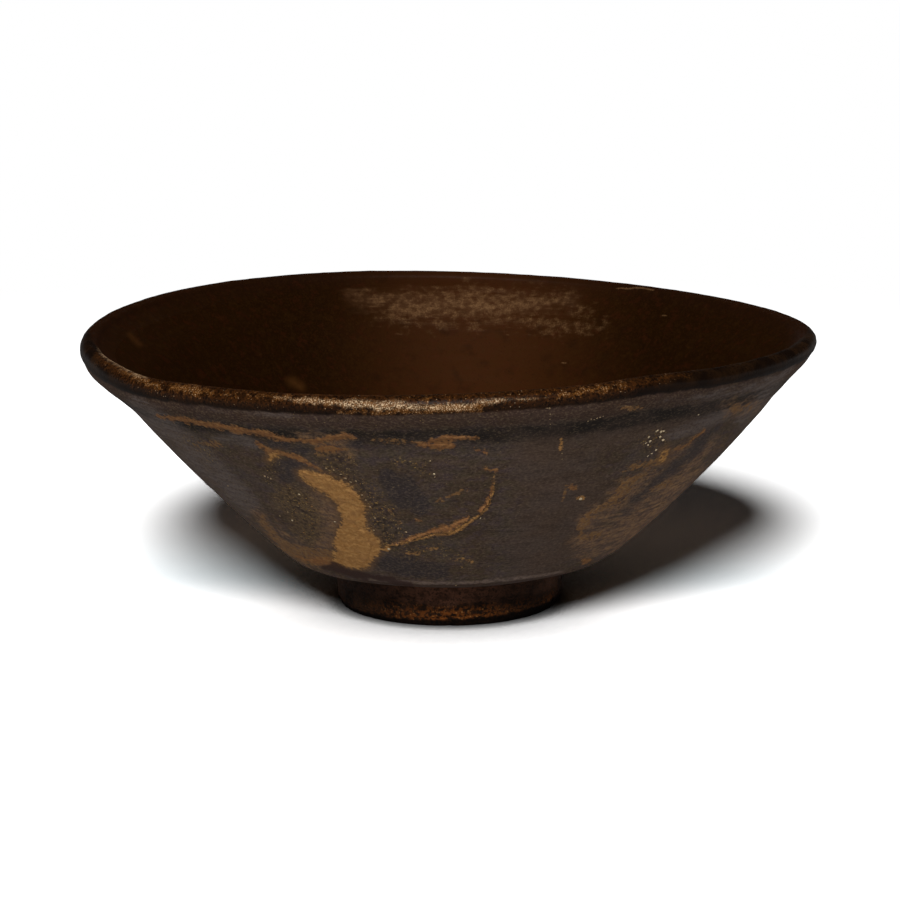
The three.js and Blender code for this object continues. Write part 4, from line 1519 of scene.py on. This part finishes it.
def route_steps(route):
    """A smooth route through its points in steps of one cell"""
    marks = np.array(route, float)
    along = np.concatenate([[0], np.cumsum(np.hypot(*np.diff(marks[:, :2], axis=0).T))])
    count = int(along[-1] / CRUST_CELL) + 1
    even = np.linspace(0, along[-1], count)
    steps = np.stack([np.interp(even, along, marks[:, axis]) for axis in range(3)], axis=-1)
    weights = np.hanning(2 * ROUTE_EASING + 3)[1:-1]
    before = 2 * steps[0] - steps[ROUTE_EASING:0:-1]
    after = 2 * steps[-1] - steps[-2:-ROUTE_EASING - 2:-1]
    return averaged(np.concatenate([before, steps, after]), weights)


def make_crust(name, paint):
    """A thin ragged crust that rises out of the glaze along its route"""
    steps = route_steps(CRUSTS[name])
    heading = np.gradient(steps[:, :2], axis=0)
    heading /= np.hypot(*heading.T)[:, None]
    across = np.stack([-heading[:, 1], heading[:, 0]], axis=-1)
    count = int(2 * steps[:, 2].max() / CRUST_CELL) + 5
    sides = np.linspace(-1, 1, count)
    pixels = steps[:, None, :2] + across[:, None] * (steps[:, 2, None] * sides)[..., None]
    along, angle = skin_under(pixels)
    flat = bare_skin(along, angle)
    inset = steps[:, 2, None] * (1 - np.abs(sides))
    ends = np.minimum(np.arange(len(steps)), np.arange(len(steps))[::-1]) * CRUST_CELL
    inset = np.minimum(inset, ends[:, None])
    routes = TAN_ROUTES + DAB_ROUTES + RUST_ROUTES + STAIN_ROUTES
    inside = marked(wandering(flat.reshape(-1, 3)), routes).reshape(along.shape)
    fray = sum(height * lumps(flat, *kind) for height, *kind in CRUST_FRAY)
    rise = fade(np.minimum(inside, inset - 1.0) + fray, -1.2, 2.6)
    rough = sum(height * lumps(flat, *kind) for height, *kind in CRUST_ROUGH)
    border = np.minimum(inset / 1.5, 1)
    crest = CREST_HEIGHTS[name] * rise * (0.75 + rough) - CRUST_SUNK * (1 - rise)
    top = skin(along, angle, crest * border - CRUST_ROOT * (1 - border))
    bottom = skin(along, angle, -CRUST_ROOT - 0.02)
    points, faces = closed_sheet(top, bottom)
    fields = outer_fields(points, np.full(len(points), FAR_BELOW_LIP))
    finished(mesh_object(name + "_relief", points, faces, fields), paint, name)


def closed_sheet(top, bottom):
    """Points and faces of a closed body between two grids of points, one over the other"""
    rows, columns = top.shape[:2]
    rings = np.concatenate([top, bottom[:, ::-1]], axis=1)
    width = rings.shape[1]
    index = np.arange(rows * width).reshape(rows, width)
    beside = np.roll(index, -1, axis=1)
    quads = np.stack([index[:-1], index[1:], beside[1:], beside[:-1]], axis=-1).reshape(-1, 4)
    faces = quads.tolist()
    first = index[0].tolist()
    last = index[-1].tolist()
    for step in range(columns - 1):
        far = width - 1 - step
        faces.append([first[step], first[step + 1], first[far - 1], first[far]])
        faces.append([last[step + 1], last[step], last[far], last[far - 1]])
    return rings.reshape(-1, 3), faces


GRIT_BOUNDS = (255, 700, 430, 572)
GRIT_COUNT = 900
GRIT_SIZES = (0.5, 1.15)
GRIT_FRAY = 4
GRIT_LEAST_INSIDE = 2
FAINT_PALENESS = 0.4
CRUMB_TURNS = 7
CRUMB_RINGS = 4
CRUMB_STRETCHES = (1, 1.35)
CRUMB_FLATNESS = 0.5
CRUMB_LIFT = 0.1
CRUMB_ROUGHNESS = 0.45


def grit_places():
    """Random places of fine grains inside the gritty zones, as (across, down, half width)"""
    dice = np.random.default_rng(12)
    low_x, high_x, low_y, high_y = GRIT_BOUNDS
    across = dice.uniform(low_x, high_x, GRIT_COUNT)
    down = dice.uniform(low_y, high_y, GRIT_COUNT)
    pixels = np.stack([across, down], axis=-1)
    sizes = dice.uniform(*GRIT_SIZES, GRIT_COUNT)
    inside = marked(pixels, GRIT_ROUTES) + dice.normal(0, GRIT_FRAY, GRIT_COUNT)
    return np.column_stack([pixels, sizes])[inside > GRIT_LEAST_INSIDE]


def round_lump():
    """Points and faces of a coarse ball"""
    turns = np.linspace(0, 2 * math.pi, CRUMB_TURNS, endpoint=False)
    ball = [(0.0, 0.0, 1.0)]
    for tilt in np.linspace(0, math.pi, CRUMB_RINGS + 2)[1:-1]:
        wide = math.sin(tilt)
        ball += [(wide * math.cos(turn), wide * math.sin(turn), math.cos(tilt)) for turn in turns]
    ball.append((0.0, 0.0, -1.0))
    faces = []
    for step in range(CRUMB_TURNS):
        beside = (step + 1) % CRUMB_TURNS
        faces.append([0, 1 + step, 1 + beside])
        for start in range(1, 1 + (CRUMB_RINGS - 1) * CRUMB_TURNS, CRUMB_TURNS):
            below = start + CRUMB_TURNS
            faces.append([start + step, below + step, below + beside, start + beside])
        start = 1 + (CRUMB_RINGS - 1) * CRUMB_TURNS
        faces.append([start + step, len(ball) - 1, start + beside])
    return np.array(ball), faces


def make_crumbs():
    """Small grains that stick to the glaze, each a closed lump sunk a little into it"""
    front = np.concatenate([np.array(WHITE_CRUMBS), np.array(FAINT_CRUMBS), grit_places()])
    along, angle = skin_under(front[:, :2])
    named = len(WHITE_CRUMBS) + len(FAINT_CRUMBS)
    back = slice(named, None, 2)
    along = np.concatenate([along, along[back]])
    angle = np.concatenate([angle, -angle[back]])
    sizes = np.concatenate([front[:, 2], front[back, 2]]) * VIEW_DISTANCE / FOCAL_PIXELS
    pale = np.zeros(len(along))
    pale[:named] = FAINT_PALENESS
    pale[:len(WHITE_CRUMBS)] = 1
    dice = np.random.default_rng(13)
    stretches = dice.uniform(*CRUMB_STRETCHES, len(along))
    centres = skin(along, angle)
    normals = bare_normal(along, angle)
    lean = dice.normal(0, 1, (len(along), 3))
    sideways = unit(np.cross(normals, lean))
    upward = np.cross(normals, sideways)
    ball, ball_faces = round_lump()
    points = []
    faces = []
    frames = zip(centres, normals, sideways, upward, sizes, stretches)
    for index, (centre, normal, side, up, size, stretch) in enumerate(frames):
        flat = ball[:, :1] * side * stretch + ball[:, 1:2] * up / stretch
        lump = flat + (CRUMB_FLATNESS * ball[:, 2:] + CRUMB_LIFT) * normal
        uneven = 1 + CRUMB_ROUGHNESS * lumps(centre + lump * size, 0.7 * size + 0.1, 111)
        points.append(centre + lump * size * uneven[:, None])
        faces += [[corner + index * len(ball) for corner in face] for face in ball_faces]
    fields = {"pale": np.repeat(pale, len(ball))}
    piece = mesh_object("scatter_crumbs", np.concatenate(points), faces, fields)
    piece.data.materials.append(crumb_paint())
    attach(piece, "root")


# Setting. A lamp stands at an azimuth, 0 at the front and 90 at the left, and an elevation.
LAMP_AIM = Vector((0, 0, 0.03))
LAMP_DISTANCE = 1.2
KEY_PLACE = (6.0, 35.2)
KEY_SPREAD = 18
KEY_STRENGTH = 3.46
FILL_SIZE = (0.6, 0.4)
FILLS = {
    "fill_left": (128, 6, 8.0),
    "fill_right": (232, 6, 8.0),
    "fill_high": (180, 32, 9.0),
}
FLOOR_RADIUS = 6.0
FLOOR_CORNERS = 64
FLOOR_LIT = grey(0.9)
FLOOR_CLEAN = grey(0.95)
FLOOR_SHOWN = grey(2.55)
FLOOR_SHADE_TINT = (0.56, 0.61, 0.63, 1)
FLOOR_CONTACT = 0.06
FLOOR_TOUCH = 0.0045
FLOOR_FADE = (0.16, 0.34)
CONTACT_SAMPLES = 8
WORLD_DIM = 0.006
WORLD_WHITE = 1.0
WORLD_OVERHEAD = 0.04
WORLD_FRONT = 0.06
WORLD_LEVEL = (0.5, 5)
WORLD_BEHIND = (5, 50)


def place_lamp(data, azimuth, elevation):
    """Points a lamp at the bowl"""
    lamp = bpy.data.objects.new(data.name, data)
    bpy.context.scene.collection.objects.link(lamp)
    turn = math.radians(azimuth)
    lift = math.radians(elevation)
    level = -math.cos(lift)
    away = Vector((math.sin(turn) * level, math.cos(turn) * level, math.sin(lift)))
    lamp.location = LAMP_AIM + away * LAMP_DISTANCE
    lamp.rotation_mode = "QUATERNION"
    lamp.rotation_quaternion = (-away).to_track_quat("-Z", "Y")
    return lamp


def make_key():
    """One soft frontal light of the same strength all over the floor"""
    data = bpy.data.lights.new("key", "SUN")
    data.energy = KEY_STRENGTH
    data.angle = math.radians(KEY_SPREAD)
    place_lamp(data, *KEY_PLACE)


def make_fills():
    """Weak lamps behind the bowl that light the bowl alone, so that the floor keeps one shadow"""
    lit = bpy.data.collections.new("lit_by_fills")
    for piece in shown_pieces():
        lit.objects.link(piece)
    for name, (azimuth, elevation, power) in FILLS.items():
        data = bpy.data.lights.new(name, "AREA")
        data.shape = "RECTANGLE"
        data.size, data.size_y = FILL_SIZE
        data.energy = power
        lamp = place_lamp(data, azimuth, elevation)
        lamp.light_linking.receiver_collection = lit
        lamp.visible_glossy = False


def sines(degrees):
    return [math.sin(math.radians(angle)) for angle in degrees]


def make_world():
    """A dim room whose far edge is white to the camera, with a white backdrop in reflections"""
    paint = Paint(bpy.data.worlds.new("world"))
    upward = paint.node("SeparateXYZ", {0: paint.node("TexCoord", {}, "Generated")}, "Z")
    level = paint.ramp(upward, *sines(WORLD_LEVEL), WORLD_WHITE, WORLD_OVERHEAD)
    behind = paint.ramp(upward.node.outputs["Y"], *sines(WORLD_BEHIND), WORLD_FRONT, 1)
    bright = paint.blend(paint.ray("Is Camera Ray"), paint.times(level, behind), level)
    strength = paint.blend(paint.shown(), WORLD_DIM, bright)
    bpy.context.scene.world = paint.ended(paint.node("Background", {"Strength": strength}), "World")


def floor_paint():
    """White floor that shows as clean white outside the bowl's shadow, with painted contact shade from
    ambient occlusion near the bowl and a darker, cooler painted shade behind it
    """
    paint = new_paint("floor_white")
    contact = paint.node("AmbientOcclusion", {"Distance": FLOOR_CONTACT}, "AO", samples=CONTACT_SAMPLES)
    touch = paint.node("AmbientOcclusion", {"Distance": FLOOR_TOUCH}, "AO", samples=CONTACT_SAMPLES)
    # Painted contact shade from ambient occlusion
    open_share = paint.times(paint.ramp(contact, 0.02, 0.56), paint.ramp(touch, 0.5, 0.9, 0.35, 1))
    back = paint.node("SeparateXYZ", {0: paint.place}, "Y")
    # Painted shade, darker and cooler, where the floor is occluded behind the bowl
    painted_shade = paint.times(paint.ramp(contact, 0.84, 0.45), paint.ramp(back, -0.012, 0.02))
    paint.colour = paint.mix(paint.ray("Is Camera Ray"), FLOOR_CLEAN, FLOOR_SHOWN)
    paint.over(paint.mix(1, paint.colour, FLOOR_SHADE_TINT, "MULTIPLY"), painted_shade)
    seen = paint.node("BsdfDiffuse", {"Color": paint.mix(open_share, grey(0), paint.colour)})
    distance = paint.node("VectorMath", {0: paint.place}, "Value", operation="LENGTH")
    far = paint.ramp(distance, *FLOOR_FADE)
    seen = paint.node("MixShader", {0: far, 1: seen, 2: paint.node("Emission", {})})
    lit = paint.node("BsdfDiffuse", {"Color": FLOOR_LIT})
    return paint.ended(paint.node("MixShader", {0: paint.shown(), 1: lit, 2: seen}))


def make_floor():
    turns = np.linspace(0, 2 * math.pi, FLOOR_CORNERS, endpoint=False)
    points = np.stack([np.cos(turns), np.sin(turns), turns * 0], axis=-1) * FLOOR_RADIUS
    mesh = bpy.data.meshes.new("floor")
    mesh.from_pydata(points.tolist(), [], [list(range(FLOOR_CORNERS))])
    floor = bpy.data.objects.new("floor", mesh)
    bpy.context.scene.collection.objects.link(floor)
    mesh.materials.append(floor_paint())
    floor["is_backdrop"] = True


make_key()
make_world()
make_floor()
make_clay_body()
make_foot_ring()
make_foot_wash()
make_outer_glaze()
make_lip_glaze()
make_inner_glaze()
ochre_crust = crust_paint()
for crust_name in CRUSTS:
    make_crust(crust_name, ochre_crust)
make_crumbs()
make_fills()

bpy.context.scene.view_settings.view_transform = "Standard"
